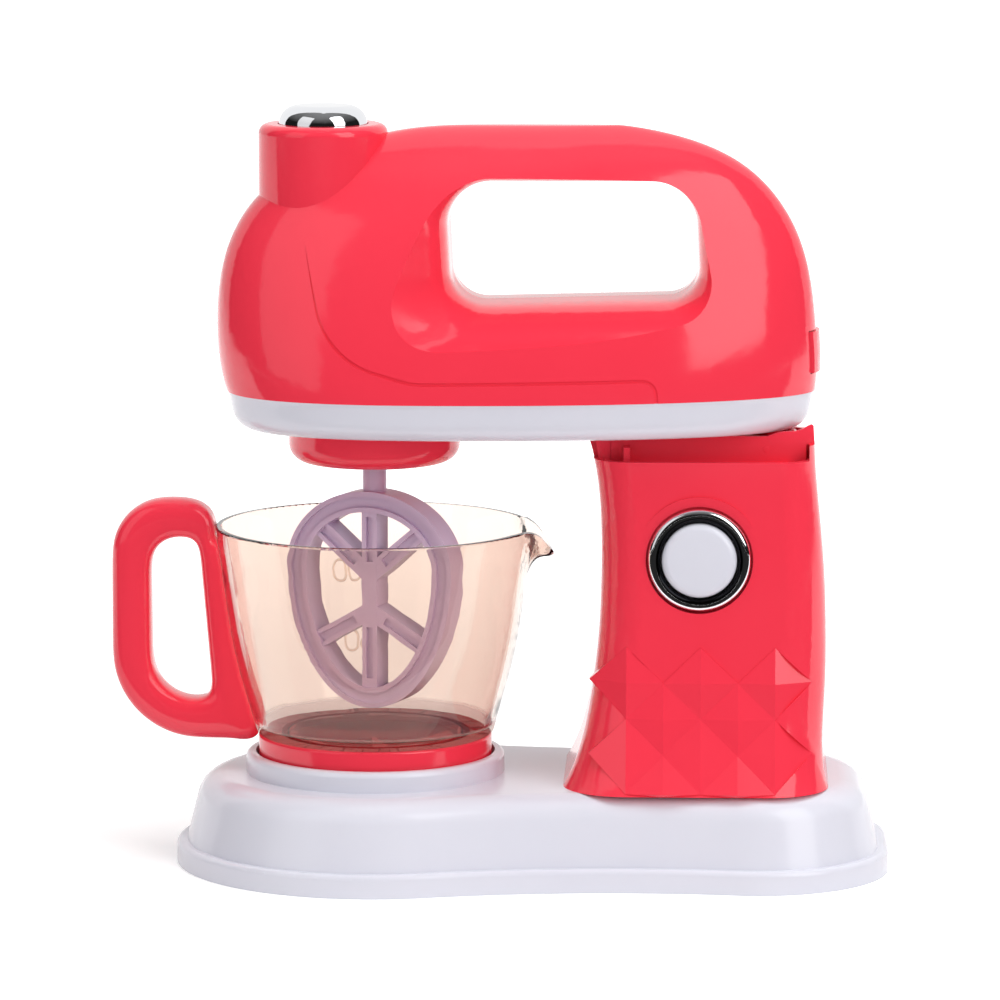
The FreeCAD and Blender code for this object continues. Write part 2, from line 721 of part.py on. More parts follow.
housing(HOUSING_FLOOR, 2.0, (27.6, 84.4, 0.0, 20.8))
housing(HOUSING_FLOOR, 2.0, (29.6, 82.6, -9.0, 0.1))
housing(HOUSING_FLOOR, 2.0, (31.5, 81.0, -17.0, -8.9))
housing(HOUSING_FLOOR + 1.9, column_height - HOUSING_FLOOR - 1.9, (CHEEK_LOW, 82.4, -10.9, -NECK_HALF - 0.4),
        (CHEEK_LOW, 82.6, NECK_HALF + 0.4, 10.9))
housing(HOUSING_FLOOR + 1.9, column_height - HOUSING_FLOOR - 1.9, (30.0, 82.0, -14.5, -12.9))
housing(column_height - 0.1, PANEL_TOP - column_height + 0.1, (30.0, 72.0, -14.5, -12.9))
housing(HOUSING_FLOOR + 1.9, 118.4 - HOUSING_FLOOR - 1.9, (40.0, 42.0, -8.0, 8.0), (54.0, 56.0, -8.0, 8.0))
ledge = sketch_on(back, "XY_Plane", 109.0)
outline(ledge, box_corners(33.0, 78.4, -19.5, -14.4))
pad(back, ledge, 1.8)
rib = sketch_on(back, "XY_Plane", 110.7)
outline(rib, box_corners(33.5, 35.2, -19.0, -14.4))
pad(back, rib, 4.8)
pin_holes = sketch_on(back, "XZ_Plane", 12.0)
circle(pin_holes, pivot_along, pivot_height, 2.0 + running)
pocket(back, pin_holes, 24.0)
foot_bosses = sketch_on(back, "XY_Plane", base_height)
for x, y in COLUMN_SCREWS[1::2]:
    circle(foot_bosses, x, y, 4.0)
pad(back, foot_bosses, 14)
foot_pilots = sketch_on(back, "XY_Plane", base_height)
for x, y in COLUMN_SCREWS[1::2]:
    circle(foot_pilots, x, y, 1.1)
pocket(back, foot_pilots, 12, back=True)

hinge_pin = new_body("hinge_pin")
pin_sketch = sketch_on(hinge_pin, "XZ_Plane")
circle(pin_sketch, pivot_along, pivot_height, 2.0)
pad(hinge_pin, pin_sketch, 21.8, both=True)

# Power button: a chrome ring in a recess, and a cap on a spring over a switch
ring_front = BUTTON_SEAT + 3.4
turn_forward = Rotation(Vector(1, 0, 0), 90)


def facing(label, corners):
    """A turned piece whose axis points at the viewer, at the button's place."""
    body = new_body(label, (button_along, 0, button_height), turn_forward)
    sketch = sketch_on(body, "XZ_Plane")
    outline(sketch, corners)
    revolve(body, sketch)
    return body


facing("button_ring", [
    (button_radius + gap, BOSS_BACK), (ring_radius - 1.7, BOSS_BACK), (ring_radius - 1.7, BUTTON_SEAT),
    (ring_radius, BUTTON_SEAT), (ring_radius, ring_front, 1.6), (button_radius + gap, ring_front, 1.6)])
facing("power_button", [
    (0, 15.2), (2.0, 15.2), (2.0, 18.4), (button_radius + 1.6, 18.4), (button_radius + 1.6, 20.2),
    (button_radius, 20.2), (button_radius, ring_front + 0.5, 2.0), (0, ring_front + 0.8)])
facing("button_spring", [(4.2, POST_END), (5.0, POST_END), (5.0, 18.4), (4.2, 18.4)])
switch_plate = new_body("switch_plate")
plate_sketch = sketch_on(switch_plate, "XZ_Plane", POST_END - 1.6)
outline(plate_sketch, box_corners(button_along - 14, button_along + 14, button_height - 14,
                                  button_height + 13, 3.0))
circle(plate_sketch, button_along, button_height, 3.2)
pad(switch_plate, plate_sketch, 1.6)
switch = new_body("power_switch")
switch_sketch = sketch_on(switch, "XZ_Plane", POST_END - 1.6)
outline(switch_sketch, box_corners(button_along - 6, button_along + 6, button_height - 6,
                                   button_height + 6, 1.0))
pad(switch, switch_sketch, 7.0, back=True)
plunger = sketch_on(switch, "XZ_Plane", POST_END - 1.7)
circle(plunger, button_along, button_height, 1.6)
pad(switch, plunger, 2.0)


SCREW_HEAD_RADIUS, SCREW_HEAD_HEIGHT, THREAD_RADIUS = 2.8, 1.8, 1.1


def screw_solid(x, y, head_low, length, up):
    """A round-headed screw, its head's outer face at head_low, driven up or down."""
    head = cylinder(SCREW_HEAD_RADIUS, 0, SCREW_HEAD_HEIGHT)
    outer_edge = [edge for edge in head.Edges if edge.BoundBox.ZMax < 0.01]
    head = head.makeFillet(0.7, outer_edge)
    screw = head.fuse(cylinder(THREAD_RADIUS, SCREW_HEAD_HEIGHT, length)).removeSplitter()
    if not up:
        screw.rotate(Vector(0, 0, 0), Vector(1, 0, 0), 180)
    screw.translate(Vector(float(x), float(y), float(head_low)))
    return screw


def screws(label, places, head_low, length, up=True):
    computed(label, Part.makeCompound([screw_solid(x, y, head_low, length, up) for x, y in places]))


screws("base_screws", BASE_SCREWS, COVER_BOTTOM - SCREW_HEAD_HEIGHT, 11.0)
screws("battery_door_screw", [DOOR_SCREW], COVER_BOTTOM - SCREW_HEAD_HEIGHT, 10.0)
screws("column_screws", COLUMN_SCREWS, base_height - wall - SCREW_HEAD_HEIGHT, 13.0)

# Head: a smooth domed housing in two halves, with a grip opening through it and a cup for the top button
tray_bottom = cell("tray_bottom")
seam_height = cell("seam_height")

# Height, front end, rear end and half width of the head's outside at each level
HEAD_SECTIONS = [
    (129.0, -73.4, 84.6, 38.0),
    (140.0, -75.6, 85.0, 36.4),
    (151.0, -75.8, 84.2, 33.6),
    (163.0, -74.2, 82.2, 29.6),
    (175.0, -69.2, 77.6, 24.4),
    (184.5, -60.5, 70.6, 19.0),
    (192.0, -47.5, 60.5, 13.6),
    (197.2, -32.0, 46.5, 7.8),
    (199.7, -4.0, 32.0, 1.6),
]
LEVELS = len(HEAD_SECTIONS) - 1
PLAN_POINTS = 32
FRONT_SQUARENESS, REAR_SQUARENESS = 2.5, 2.1


def plan_curve(height, front_end, rear_end, half, widest_share):
    """One level of the head in plan: a blunt front and a longer rear, from the superellipse formula."""
    widest = front_end + (rear_end - front_end) * widest_share
    points = []
    for step in range(PLAN_POINTS):
        angle = 2 * math.pi * step / PLAN_POINTS
        across, along = math.sin(angle), math.cos(angle)
        squareness = REAR_SQUARENESS if along > 0 else FRONT_SQUARENESS
        reach = rear_end - widest if along > 0 else widest - front_end
        x = widest + math.copysign(reach * abs(along) ** (2 / squareness), along)
        y = math.copysign(half * abs(across) ** (2 / squareness), across)
        points.append(Vector(x, y, height))
    curve = Part.BSplineCurve()
    curve.interpolate(points, True)
    return Part.Wire(curve.toShape())


def dome(inset, drop=0.0):
    """The head's solid or, with an inset, the hollow inside it, reaching down past the seam by a drop."""
    wires = []
    for level, (height, front_end, rear_end, half) in enumerate(HEAD_SECTIONS):
        share = 0.36 + 0.14 * level / LEVELS
        lowered = height - inset * (level / LEVELS) ** 2 - (drop if level == 0 else 0.0)
        narrow = min(inset, 0.6 * half)
        wires.append(plan_curve(lowered, front_end + inset, rear_end - inset, half - narrow, share))
    return Part.makeLoft(wires, True, False)


# Place and radius of the corners, from the lower left one round by the lower right
GRIP_CORNERS = [(-13.5, 151.2, 10.0), (55.0, 153.0, 9.0), (53.5, 187.0, 13.0), (-15.5, 187.0, 13.0)]
# Distance from the middle plane, and how far the opening has flared out there
GRIP_FLARE = [(0.0, -1.6), (10.0, -1.3), (16.0, -0.6), (20.0, 1.2), (24.0, 4.6), (28.0, 9.2), (32.0, 14.6),
              (39.0, 24.0)]
# Share of the flare that the lower, right, upper and left sides take
SIDE_SHARES = [0.45, 0.8, 1.0, 1.0]


def grip_wire(depth, flare, growth):
    """The grip opening's rounded outline at one depth: flared by each side's share, then grown evenly."""
    points = [Vector(x, depth, z) for x, z, radius in GRIP_CORNERS]
    centre = Vector(19.0, depth, 168.0)
    grown = []
    for i, point in enumerate(points):
        before, after = points[i - 1], points[(i + 1) % 4]
        lines = []
        for start, end, share in ((before, point, SIDE_SHARES[i - 1]), (point, after, SIDE_SHARES[i])):
            along = (end - start).normalize()
            outward = Vector(along.z, 0, -along.x)
            if outward.dot(point - centre) < 0:
                outward = -outward
            shift = (flare * share if flare > 0 else flare) + growth
            lines.append((start + outward * shift, along))
        (one, one_way), (two, two_way) = lines
        cross = one_way.x * two_way.z - one_way.z * two_way.x
        run = ((two.x - one.x) * two_way.z - (two.z - one.z) * two_way.x) / cross
        grown.append(one + one_way * run)
    edges = []
    ends = []
    for i, point in enumerate(grown):
        radius = GRIP_CORNERS[i][2] + flare * min(SIDE_SHARES[i - 1], SIDE_SHARES[i]) + growth
        back = (grown[i - 1] - point).normalize()
        ahead = (grown[(i + 1) % 4] - point).normalize()
        half_angle = back.getAngle(ahead) / 2
        run = radius / math.tan(half_angle)
        middle = (back + ahead).normalize()
        top = point + middle * (radius / math.sin(half_angle) - radius)
        ends.append((point + back * run, top, point + ahead * run))
    for i, (start, top, end) in enumerate(ends):
        edges.append(Part.Arc(start, top, end).toShape())
        edges.append(Part.LineSegment(end, ends[(i + 1) % 4][0]).toShape())
    return Part.Wire(edges)


def grip_spool(growth):
    """The flared opening right through the head, grown by a wall's thickness where asked."""
    stations = [(-depth, flare) for depth, flare in reversed(GRIP_FLARE[1:])] + GRIP_FLARE
    return Part.makeLoft([grip_wire(depth, flare, growth) for depth, flare in stations], True, False)


cup_along = cell("cup_along")
cup_radius = cell("cup_radius")
cup_height = cell("cup_height")
chrome_radius = cell("chrome_radius")
CUP_FLOOR, HEAD_WALL = 191.5, 2.2
TAB_TRAVEL_ROOM = (134.0, 145.5)
cup = cylinder(cup_radius, 170, cup_height, cup_along, 0)
cup = cup.makeFillet(2.6, [edge for edge in cup.Edges if edge.BoundBox.ZMin > float(cup_height) - 0.01])
head_outside = dome(0).fuse(cup).cut(grip_spool(0))
head_hollow = dome(HEAD_WALL, 1.0).cut(grip_spool(HEAD_WALL))
head_shell = head_outside.cut(head_hollow)
head_shell = head_shell.cut(cylinder(chrome_radius + gap, CUP_FLOOR, cup_height + 5, cup_along, 0))
head_shell = head_shell.cut(cylinder(3 + gap, 180, CUP_FLOOR + 1, cup_along, 0))

# Inside it: screw bosses across the halves, and a rib that guides the release tab
HEAD_SCREWS = [(-64.0, 156.0), (70.0, 156.0), (19.0, 192.8)]
TAB_RIB = (70.5, 72.0)


def boss_across(x, z, radius, start, end):
    return Part.makeCylinder(radius, end - start, Vector(x, start, z), Vector(0, 1, 0))


bosses = [boss_across(x, z, 3.4, -45, 45) for x, z in HEAD_SCREWS]
tab_rib = block(*TAB_RIB, -30, 30, seam_height, 150).cut(block(70, 73, -2.4, 2.4, 137.6, 141.9))
inner_parts = [part.common(head_outside) for part in bosses + [tab_rib]]
head_shell = head_shell.fuse(inner_parts)
head_shell = head_shell.cut(block(78, 90, -8, 8, *TAB_TRAVEL_ROOM))
head_front = head_shell.common(block(-100, 100, -60, 0, 100, 220))
head_back = head_shell.common(block(-100, 100, 0, 60, 100, 220))

# A fine step line on each side: it rises from the seam, runs along under the grip and fades out at the front
LINE_CORNERS = [(42.2, 126.0), (42.2, 135.0, 4.0), (-22.0, 134.4, 22.0), (-45.0, 141.0, 22.0), (-50.8, 169.5)]
LINE_WIDTH, LINE_DEPTH = 0.9, 0.35


def line_corner(before, corner, after):
    """The straight run into a rounded corner, and the arc round it."""
    place = Vector(corner[0], 0, corner[1])
    back = (Vector(before[0], 0, before[1]) - place).normalize()
    ahead = (Vector(after[0], 0, after[1]) - place).normalize()
    half_angle = back.getAngle(ahead) / 2
    run = corner[2] / math.tan(half_angle)
    middle = (back + ahead).normalize()
    top = place + middle * (corner[2] / math.sin(half_angle) - corner[2])
    return place + back * run, top, place + ahead * run


def panel_line():
    """The centreline of the step, from the seam to its faded end."""
    edges = []
    reached = Vector(LINE_CORNERS[0][0], 0, LINE_CORNERS[0][1])
    for i in range(1, len(LINE_CORNERS) - 1):
        start, top, end = line_corner(*LINE_CORNERS[i - 1:i + 2])
        if (start - reached).Length > 0.01:
            edges.append(Part.makeLine(reached, start))
        edges.append(Part.Arc(start, top, end).toShape())
        reached = end
    edges.append(Part.makeLine(reached, Vector(LINE_CORNERS[-1][0], 0, LINE_CORNERS[-1][1])))
    return Part.Wire(edges)


def panel_band():
    """The step line's outline: even along its length, and tapered to a point where it fades out."""
    points = panel_line().discretize(Number=60)
    sides = ([], [])
    for i, point in enumerate(points):
        along = (points[min(i + 1, 59)] - points[max(i - 1, 0)]).normalize()
        outward = Vector(along.z, 0, -along.x)
        half = LINE_WIDTH / 2 * min(1.0, (59 - i) / 14 + 0.02)
        sides[0].append(point + outward * half)
        sides[1].append(point - outward * half)
    curves = []
    for side in sides:
        curve = Part.BSplineCurve()
        curve.interpolate(side)
        curves.append(curve.toShape())
    ends = [Part.makeLine(sides[0][0], sides[1][0]), Part.makeLine(sides[0][-1], sides[1][-1])]
    wire = Part.Wire(Part.__sortEdges__(curves + ends))
    return Part.Face(wire)


band = panel_band()
skin_layer = dome(-1.0, 5.0).cut(dome(LINE_DEPTH, 6.0))
for reach in (-60, 60):
    groove = band.extrude(Vector(0, reach, 0)).common(skin_layer)
    if reach < 0:
        head_front = head_front.cut(groove)
    else:
        head_back = head_back.cut(groove)
COUNTERBORE_END = 5.0
for x, z in HEAD_SCREWS:
    head_front = head_front.cut(boss_across(x, z, 1.1, -5.5, 1))
    head_back = head_back.cut([boss_across(x, z, 1.7, -1, 50), boss_across(x, z, 3.0, COUNTERBORE_END, 50)])
computed("head_front_half", head_front)
computed("head_back_half", head_back)

head_screw_group = []
for x, z in HEAD_SCREWS:
    head = boss_across(x, z, 2.7, COUNTERBORE_END, COUNTERBORE_END + SCREW_HEAD_HEIGHT)
    thread = boss_across(x, z, THREAD_RADIUS, -5.5, COUNTERBORE_END)
    head_screw_group.append(head.fuse(thread).removeSplitter())
computed("head_screws", Part.makeCompound(head_screw_group))

# Tray: the white band and floor under the head, with a hole for the spindle's bush and the hinge's neck
# Height and how far in from the head's lowest outline, outside and inside
TRAY_OUTSIDE = [(118.6, 7.6), (119.2, 5.0), (120.8, 2.9), (124.0, 1.4), (129.0, 0.2)]
TRAY_INSIDE = [(120.6, 9.6), (121.4, 6.6), (123.4, 4.4), (126.0, 3.2), (129.5, 2.4)]


def tray_solid(levels):
    height, front_end, rear_end, half = HEAD_SECTIONS[0]
    return Part.makeLoft([plan_curve(level, front_end + inset, rear_end - inset, half - inset, 0.36)
                          for level, inset in levels], True, False)


BUSH_RADIUS, IDLER_AXIS = 7.5, (-54.8, 0.0)
PLATE_POSTS = [(-16.0, -18.0), (-16.0, 20.0), (-57.0, -17.0), (-57.6, 20.3)]
plate_bottom = cell("plate_bottom")
plate_top = cell("plate_top")
tray_floor = tray_bottom + wall
tray = tray_solid(TRAY_OUTSIDE).cut(tray_solid(TRAY_INSIDE))
tray = tray.fuse([cylinder(2.6, tray_floor - 0.5, plate_bottom, x, y) for x, y in PLATE_POSTS]
                 + [cylinder(4.0, tray_floor - 0.5, 124.5, *IDLER_AXIS)])
NECK = (pivot_along - 5.0, pivot_along + 2.5)
neck_reach = cylinder(5.0, 0, 2 * NECK_HALF)
neck_reach.rotate(Vector(0, 0, 0), Vector(1, 0, 0), 90)
neck_reach.translate(Vector(float(pivot_along), NECK_HALF, float(pivot_height)))
tray = tray.cut([cylinder(BUSH_RADIUS, 110, 122, bowl_axis, 0)]
                + [cylinder(1.1, 128, 141, x, y) for x, y in PLATE_POSTS]
                + [cylinder(1.5 + running, tray_bottom + 2.2, 126, *IDLER_AXIS)])
computed("head_tray", tray)

neck = neck_reach.fuse(block(NECK[0], NECK[1], -NECK_HALF, NECK_HALF, pivot_height, tray_bottom))
neck = neck.removeSplitter().cut(boss_across(pivot_along, pivot_height, 2.0 + float(running), -20, 20))
computed("hinge_neck", neck)

turned("collar", [
    (7.0, cell("collar_bottom")), (cell("collar_radius"), cell("collar_bottom"), 5.0),
    (cell("collar_radius"), tray_bottom), (cell("collar_radius") - wall, tray_bottom),
    (cell("collar_radius") - wall, cell("collar_bottom") + wall, 3.0), (9.0, cell("collar_bottom") + wall),
    (9.0, tray_bottom), (7.0, tray_bottom)], at=(bowl_axis, 0, 0))

# Gear train: the motor's pinion turns a double gear, which turns the big gear on the spindle
coarse = float(cell("coarse_module"))
fine = float(cell("fine_module"))
big_teeth = int(cell("big_teeth"))
small_teeth = int(cell("small_teeth"))
middle_teeth = int(cell("middle_teeth"))
SPINDLE_AXIS = (float(bowl_axis), 0.0)
MOTOR_ANGLE = math.radians(60.0)
FIRST_REACH = fine * (small_teeth + middle_teeth) / 2
MOTOR_AXIS = (IDLER_AXIS[0] + FIRST_REACH * math.cos(MOTOR_ANGLE), FIRST_REACH * math.sin(MOTOR_ANGLE))


def gear(teeth, module, low, high, axis, tooth_at):
    """A spur gear with involute flanks, one of its teeth pointing at the given angle."""
    pitch = teeth * module / 2
    base = pitch * math.cos(math.radians(20))
    tip, root = pitch + 0.9 * module, pitch - 1.2 * module
    slack = 0.06 * module / pitch

    def spread(radius):
        """Half a tooth's angle at a radius."""
        tilt = math.acos(min(1.0, base / radius))
        tilt_at_pitch = math.radians(20)
        opened = (math.tan(tilt_at_pitch) - tilt_at_pitch) - (math.tan(tilt) - tilt)
        return math.pi / (2 * teeth) - slack + opened

    flank = [root, max(base, root + 0.01), (max(base, root) + tip) / 2, tip]
    points = []
    for tooth in range(teeth):
        middle = tooth_at + 2 * math.pi * tooth / teeth
        for side, radii in ((-1, flank), (1, reversed(flank))):
            for radius in radii:
                angle = middle + side * spread(radius)
                x, y = axis[0] + radius * math.cos(angle), axis[1] + radius * math.sin(angle)
                points.append(Vector(x, y, low))
    face = Part.Face(Part.makePolygon(points + [points[0]]))
    return face.extrude(Vector(0, 0, high - low))


turned("spindle", [
    (0, 123.0), (cell("stem_radius") + running, 123.0), (cell("stem_radius") + running, 110.5), (5.0, 110.5),
    (5.0, 125.6), (3.0, 125.6), (3.0, plate_top + 0.4), (0, plate_top + 0.4)], at=(bowl_axis, 0, 0))
towards_idler = math.pi
hub = cylinder(BUSH_RADIUS, 122.2, 126.0, *SPINDLE_AXIS)
spindle_gear = gear(big_teeth, coarse, 125.6, 131.0, SPINDLE_AXIS, towards_idler).fuse(hub)
spindle_gear = spindle_gear.cut([cylinder(3.0, 120, 135, *SPINDLE_AXIS),
                                 cylinder(5.0, 120, 125.6, *SPINDLE_AXIS)])
computed("spindle_gear", spindle_gear)
turned("spindle_bush", [
    (5.0 + running, tray_bottom), (BUSH_RADIUS, tray_bottom), (BUSH_RADIUS, tray_floor), (9.5, tray_floor),
    (9.5, tray_floor + 1.4), (5.0 + running, tray_floor + 1.4)], at=(bowl_axis, 0, 0))

pinion = gear(small_teeth, coarse, 125.2, 133.0, IDLER_AXIS, math.pi / small_teeth)
middle_gear = gear(middle_teeth, fine, 133.0, 137.2, IDLER_AXIS, MOTOR_ANGLE)
idler_bore = cylinder(1.5, 120, 140, *IDLER_AXIS)
computed("idler_gear", pinion.fuse(middle_gear).removeSplitter().cut(idler_bore))
computed("idler_shaft", cylinder(1.5, 121.0, 142.8, *IDLER_AXIS))
motor_pinion = gear(small_teeth, fine, 132.8, 138.0, MOTOR_AXIS,
                    MOTOR_ANGLE + math.pi + math.pi / small_teeth)
computed("motor_pinion", motor_pinion.cut(cylinder(1.0, 120, 140, *MOTOR_AXIS)))

plate = new_body("gear_plate")
plate_sketch = sketch_on(plate, "XY_Plane", plate_bottom)
outline(plate_sketch, box_corners(-61.0, -12.0, -22.0, 24.5, 4.0))
circle(plate_sketch, bowl_axis, 0, 3.0 + running)
circle(plate_sketch, *IDLER_AXIS, 1.5 + running)
circle(plate_sketch, *MOTOR_AXIS, 3.2)
for x, y in PLATE_POSTS:
    circle(plate_sketch, x, y, 1.3)
pad(plate, plate_sketch, plate_top - plate_bottom)
screws("gear_plate_screws", PLATE_POSTS, plate_top + SCREW_HEAD_HEIGHT, 12.0, up=False)

CAN_TOP, CAN_RADIUS = 163.0, 9.0
can = cylinder(CAN_RADIUS, plate_top, CAN_TOP, *MOTOR_AXIS)
can = can.makeFillet(1.5, [edge for edge in can.Edges if edge.BoundBox.ZMin > CAN_TOP - 0.01])
can = can.cut([cylinder(CAN_RADIUS - 1, plate_top + 1, CAN_TOP - 1, *MOTOR_AXIS),
               cylinder(1.0 + float(running), 140, 170, *MOTOR_AXIS)])
computed("motor_can", can)
computed("motor_shaft", cylinder(1.0, 132.4, CAN_TOP + 0.6, *MOTOR_AXIS).fuse(
    cylinder(6.5, 148, 161, *MOTOR_AXIS)).removeSplitter())

# Top button: a chrome cap on a spring in the cup, over a switch on a bracket
turned("top_button", [
    (0, 184.0), (3.0, 184.0), (3.0, 202.6), (9.9, 202.6), (9.9, 194.4), (chrome_radius, 194.4),
    (chrome_radius, cell("chrome_top") - 0.2, 5.2), (0, cell("chrome_top"))], at=(cup_along, 0, 0))
turned("top_button_spring", [(4.4, CUP_FLOOR), (5.2, CUP_FLOOR), (5.2, 202.6), (4.4, 202.6)],
       at=(cup_along, 0, 0))
bracket = block(cup_along - 4, cup_along + 4, -6.0, -4.4, plate_top, 172)
bracket = bracket.fuse([block(cup_along - 6, cup_along + 6, -6, 6, 170.4, 172),
                        block(cup_along - 4, cup_along + 4, -11.0, -4.4, plate_top, plate_top + 1.4)])
computed("switch_bracket", bracket.removeSplitter())
computed("top_switch", block(cup_along - 5, cup_along + 5, -3, 3, 172, 179).fuse(
    cylinder(1.5, 178.9, 181.3, cup_along, 0)).removeSplitter())

# Release tab: follows the head's rear, a little proud of it, with a stem and a spring
tab = dome(-0.9).common(block(76, 92, -7.7, 7.7, TAB_TRAVEL_ROOM[0] + gap, TAB_TRAVEL_ROOM[1] - gap))
tab = tab.cut(dome(HEAD_WALL - 0.2, 1.0))
tab_stem = block(66.0, 84.0, -2.1, 2.1, 137.9, 141.6)
computed("release_tab", tab.fuse(tab_stem).removeSplitter())
spring_tube = Part.makeCylinder(4.4, 7.6, Vector(TAB_RIB[1], 0, 139.75), Vector(1, 0, 0))
spring_tube = spring_tube.cut(Part.makeCylinder(3.6, 7.6, Vector(TAB_RIB[1], 0, 139.75), Vector(1, 0, 0)))
computed("release_spring", spring_tube)

# Beater: an upturned egg with a centre rib and four spokes, all with grooved faces
beater_depth = cell("beater_depth")
band = cell("beater_band")
beater = new_body("beater", (bowl_axis, 0, 0), Rotation(Vector(0, 0, 1), -float(cell("beater_turn"))))
UPPER_HUB, LOWER_HUB = 78.3, 68.6
SPOKES = [(UPPER_HUB, 16.5, 13.6), (UPPER_HUB, -16.5, 13.6),
          (LOWER_HUB, 17.4, -10.2), (LOWER_HUB, -17.4, -10.2)]


def egg(sketch, inset):
    """An egg of two half ellipses that share their widest line, fixed in place."""
    half = float(cell("beater_half_width") - inset)
    widest = float(cell("beater_widest"))
    above = float(cell("beater_top")) - widest - inset
    below = widest - float(cell("beater_bottom")) - inset
    centre = Vector(0, widest, 0)
    upper = Part.Ellipse(Vector(half, widest, 0), Vector(0, widest + above, 0), centre)
    lower = Part.Ellipse(Vector(0, widest + below, 0), Vector(half, widest, 0), centre)
    for ellipse, start in ((upper, 0.0), (lower, math.pi / 2)):
        item = sketch.addGeometry(Part.ArcOfEllipse(ellipse, start, start + math.pi), False)
        sketch.addConstraint(Sketcher.Constraint("Block", item))


def strip(sketch, start, end, width):
    """A straight bar's outline between two points."""
    along = Vector(end[0] - start[0], end[1] - start[1], 0).normalize()
    side = Vector(-along.y, along.x, 0) * (width / 2)
    corners = [(start[0] + side.x, start[1] + side.y), (start[0] - side.x, start[1] - side.y),
               (end[0] - side.x, end[1] - side.y), (end[0] + side.x, end[1] + side.y)]
    outline(sketch, corners)


ring_sketch = sketch_on(beater, "XZ_Plane")
egg(ring_sketch, 0)
egg(ring_sketch, band)
pad(beater, ring_sketch, beater_depth, both=True)
rib_sketch = sketch_on(beater, "XZ_Plane")
strip(rib_sketch, (0, 44.5), (0, 98.5), 4.4)
pad(beater, rib_sketch, beater_depth - 1.2, both=True)
for hub_height, dx, dz in SPOKES:
    spoke_sketch = sketch_on(beater, "XZ_Plane")
    strip(spoke_sketch, (0, hub_height), (dx, hub_height + dz), 4.6)
    pad(beater, spoke_sketch, beater_depth - 1.4, both=True)
stem_sketch = sketch_on(beater, "XY_Plane", 98.0)
circle(stem_sketch, 0, 0, cell("stem_radius"))
pad(beater, stem_sketch, 23.0)

# Grooves along the middle of the ring, the rib and the spokes, on both faces
GROOVE_DEPTH, GROOVE_EDGE = 1.1, 1.3


def grooves(level, draw, back):
    sketch = sketch_on(beater, "XZ_Plane", level)
    draw(sketch)
    pocket(beater, sketch, GROOVE_DEPTH, back=back)


def ring_groove(sketch):
    egg(sketch, GROOVE_EDGE)
    egg(sketch, band - GROOVE_EDGE)


def rib_grooves(sketch):
    strip(sketch, (0, 50.0), (0, 64.0), 2.0)
    strip(sketch, (0, 82.0), (0, 94.0), 2.0)


def spoke_grooves(sketch):
    for hub_height, dx, dz in SPOKES:
        start = (0.25 * dx, hub_height + 0.25 * dz)
        strip(sketch, start, (0.85 * dx, hub_height + 0.85 * dz), 2.2)


for side, back_face in ((1, False), (-1, True)):
    grooves(side * (beater_depth / 2), ring_groove, back_face)
    grooves(side * (beater_depth / 2 - 0.6), rib_grooves, back_face)
    grooves(side * (beater_depth / 2 - 0.7), spoke_grooves, back_face)

# Check every object, then write each piece to its own file
doc.recompute()
for item in doc.Objects:
    if "Invalid" in item.State or "Error" in item.State:
        raise ValueError(f"{item.Name} failed: {item.State}")
os.makedirs("parts", exist_ok=True)
for label, piece in made.items():
    shape = piece.Shape
    if shape.isNull() or not shape.isValid() or not shape.Solids:
        raise ValueError(f"{label} is not a sound solid")
    shape.exportStep(f"parts/{label}.step")
print(len(made), "pieces written")
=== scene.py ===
# %% [markdown]
# # A toy stand mixer
# The construction model gives every piece its size and place. This file gives each piece its
# surface and finish. It loads the model first, so that nothing has to be fitted by eye.

# %% Load the construction model
import json
import math
import bmesh
import bpy
from mathutils import Matrix, Vector

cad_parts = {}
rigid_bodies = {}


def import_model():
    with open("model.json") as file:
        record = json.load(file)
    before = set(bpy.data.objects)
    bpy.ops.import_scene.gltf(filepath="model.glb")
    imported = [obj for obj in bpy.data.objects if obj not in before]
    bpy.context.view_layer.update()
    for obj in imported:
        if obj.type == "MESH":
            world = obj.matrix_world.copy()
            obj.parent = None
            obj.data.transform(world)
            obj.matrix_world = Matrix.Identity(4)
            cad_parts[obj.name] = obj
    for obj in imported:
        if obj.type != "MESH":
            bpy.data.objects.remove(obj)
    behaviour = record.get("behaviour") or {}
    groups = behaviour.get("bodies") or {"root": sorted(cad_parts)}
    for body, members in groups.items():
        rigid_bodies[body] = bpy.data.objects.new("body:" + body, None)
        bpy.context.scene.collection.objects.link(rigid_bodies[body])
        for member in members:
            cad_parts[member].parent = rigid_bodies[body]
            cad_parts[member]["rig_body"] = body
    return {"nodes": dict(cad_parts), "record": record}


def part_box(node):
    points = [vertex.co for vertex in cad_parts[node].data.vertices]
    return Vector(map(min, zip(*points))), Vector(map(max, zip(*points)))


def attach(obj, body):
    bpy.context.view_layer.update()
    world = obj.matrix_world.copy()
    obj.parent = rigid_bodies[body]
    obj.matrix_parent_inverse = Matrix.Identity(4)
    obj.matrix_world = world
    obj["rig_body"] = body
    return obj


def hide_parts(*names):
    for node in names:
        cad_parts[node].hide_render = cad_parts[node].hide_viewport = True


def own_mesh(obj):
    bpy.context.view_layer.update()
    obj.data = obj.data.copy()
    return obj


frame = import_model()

MM = 0.001
scene = bpy.context.scene
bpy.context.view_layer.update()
record = frame["record"]
slot_of = {part["node"]: part["material_slot"] for part in record["subparts"]}
print("construction model:", len(frame["nodes"]), "pieces")


def placed(name, data):
    """A new object in the scene."""
    made = bpy.data.objects.new(name, data)
    scene.collection.objects.link(made)
    return made


# %% [markdown]
# ## The camera
# The photograph was taken from well back with a long lens, a little above the toy and a little to
# its right. A long lens keeps the two sides of the base nearly parallel. The camera could be
# placed by dragging it, but a distance, a height and a turn are easier to check against the picture.

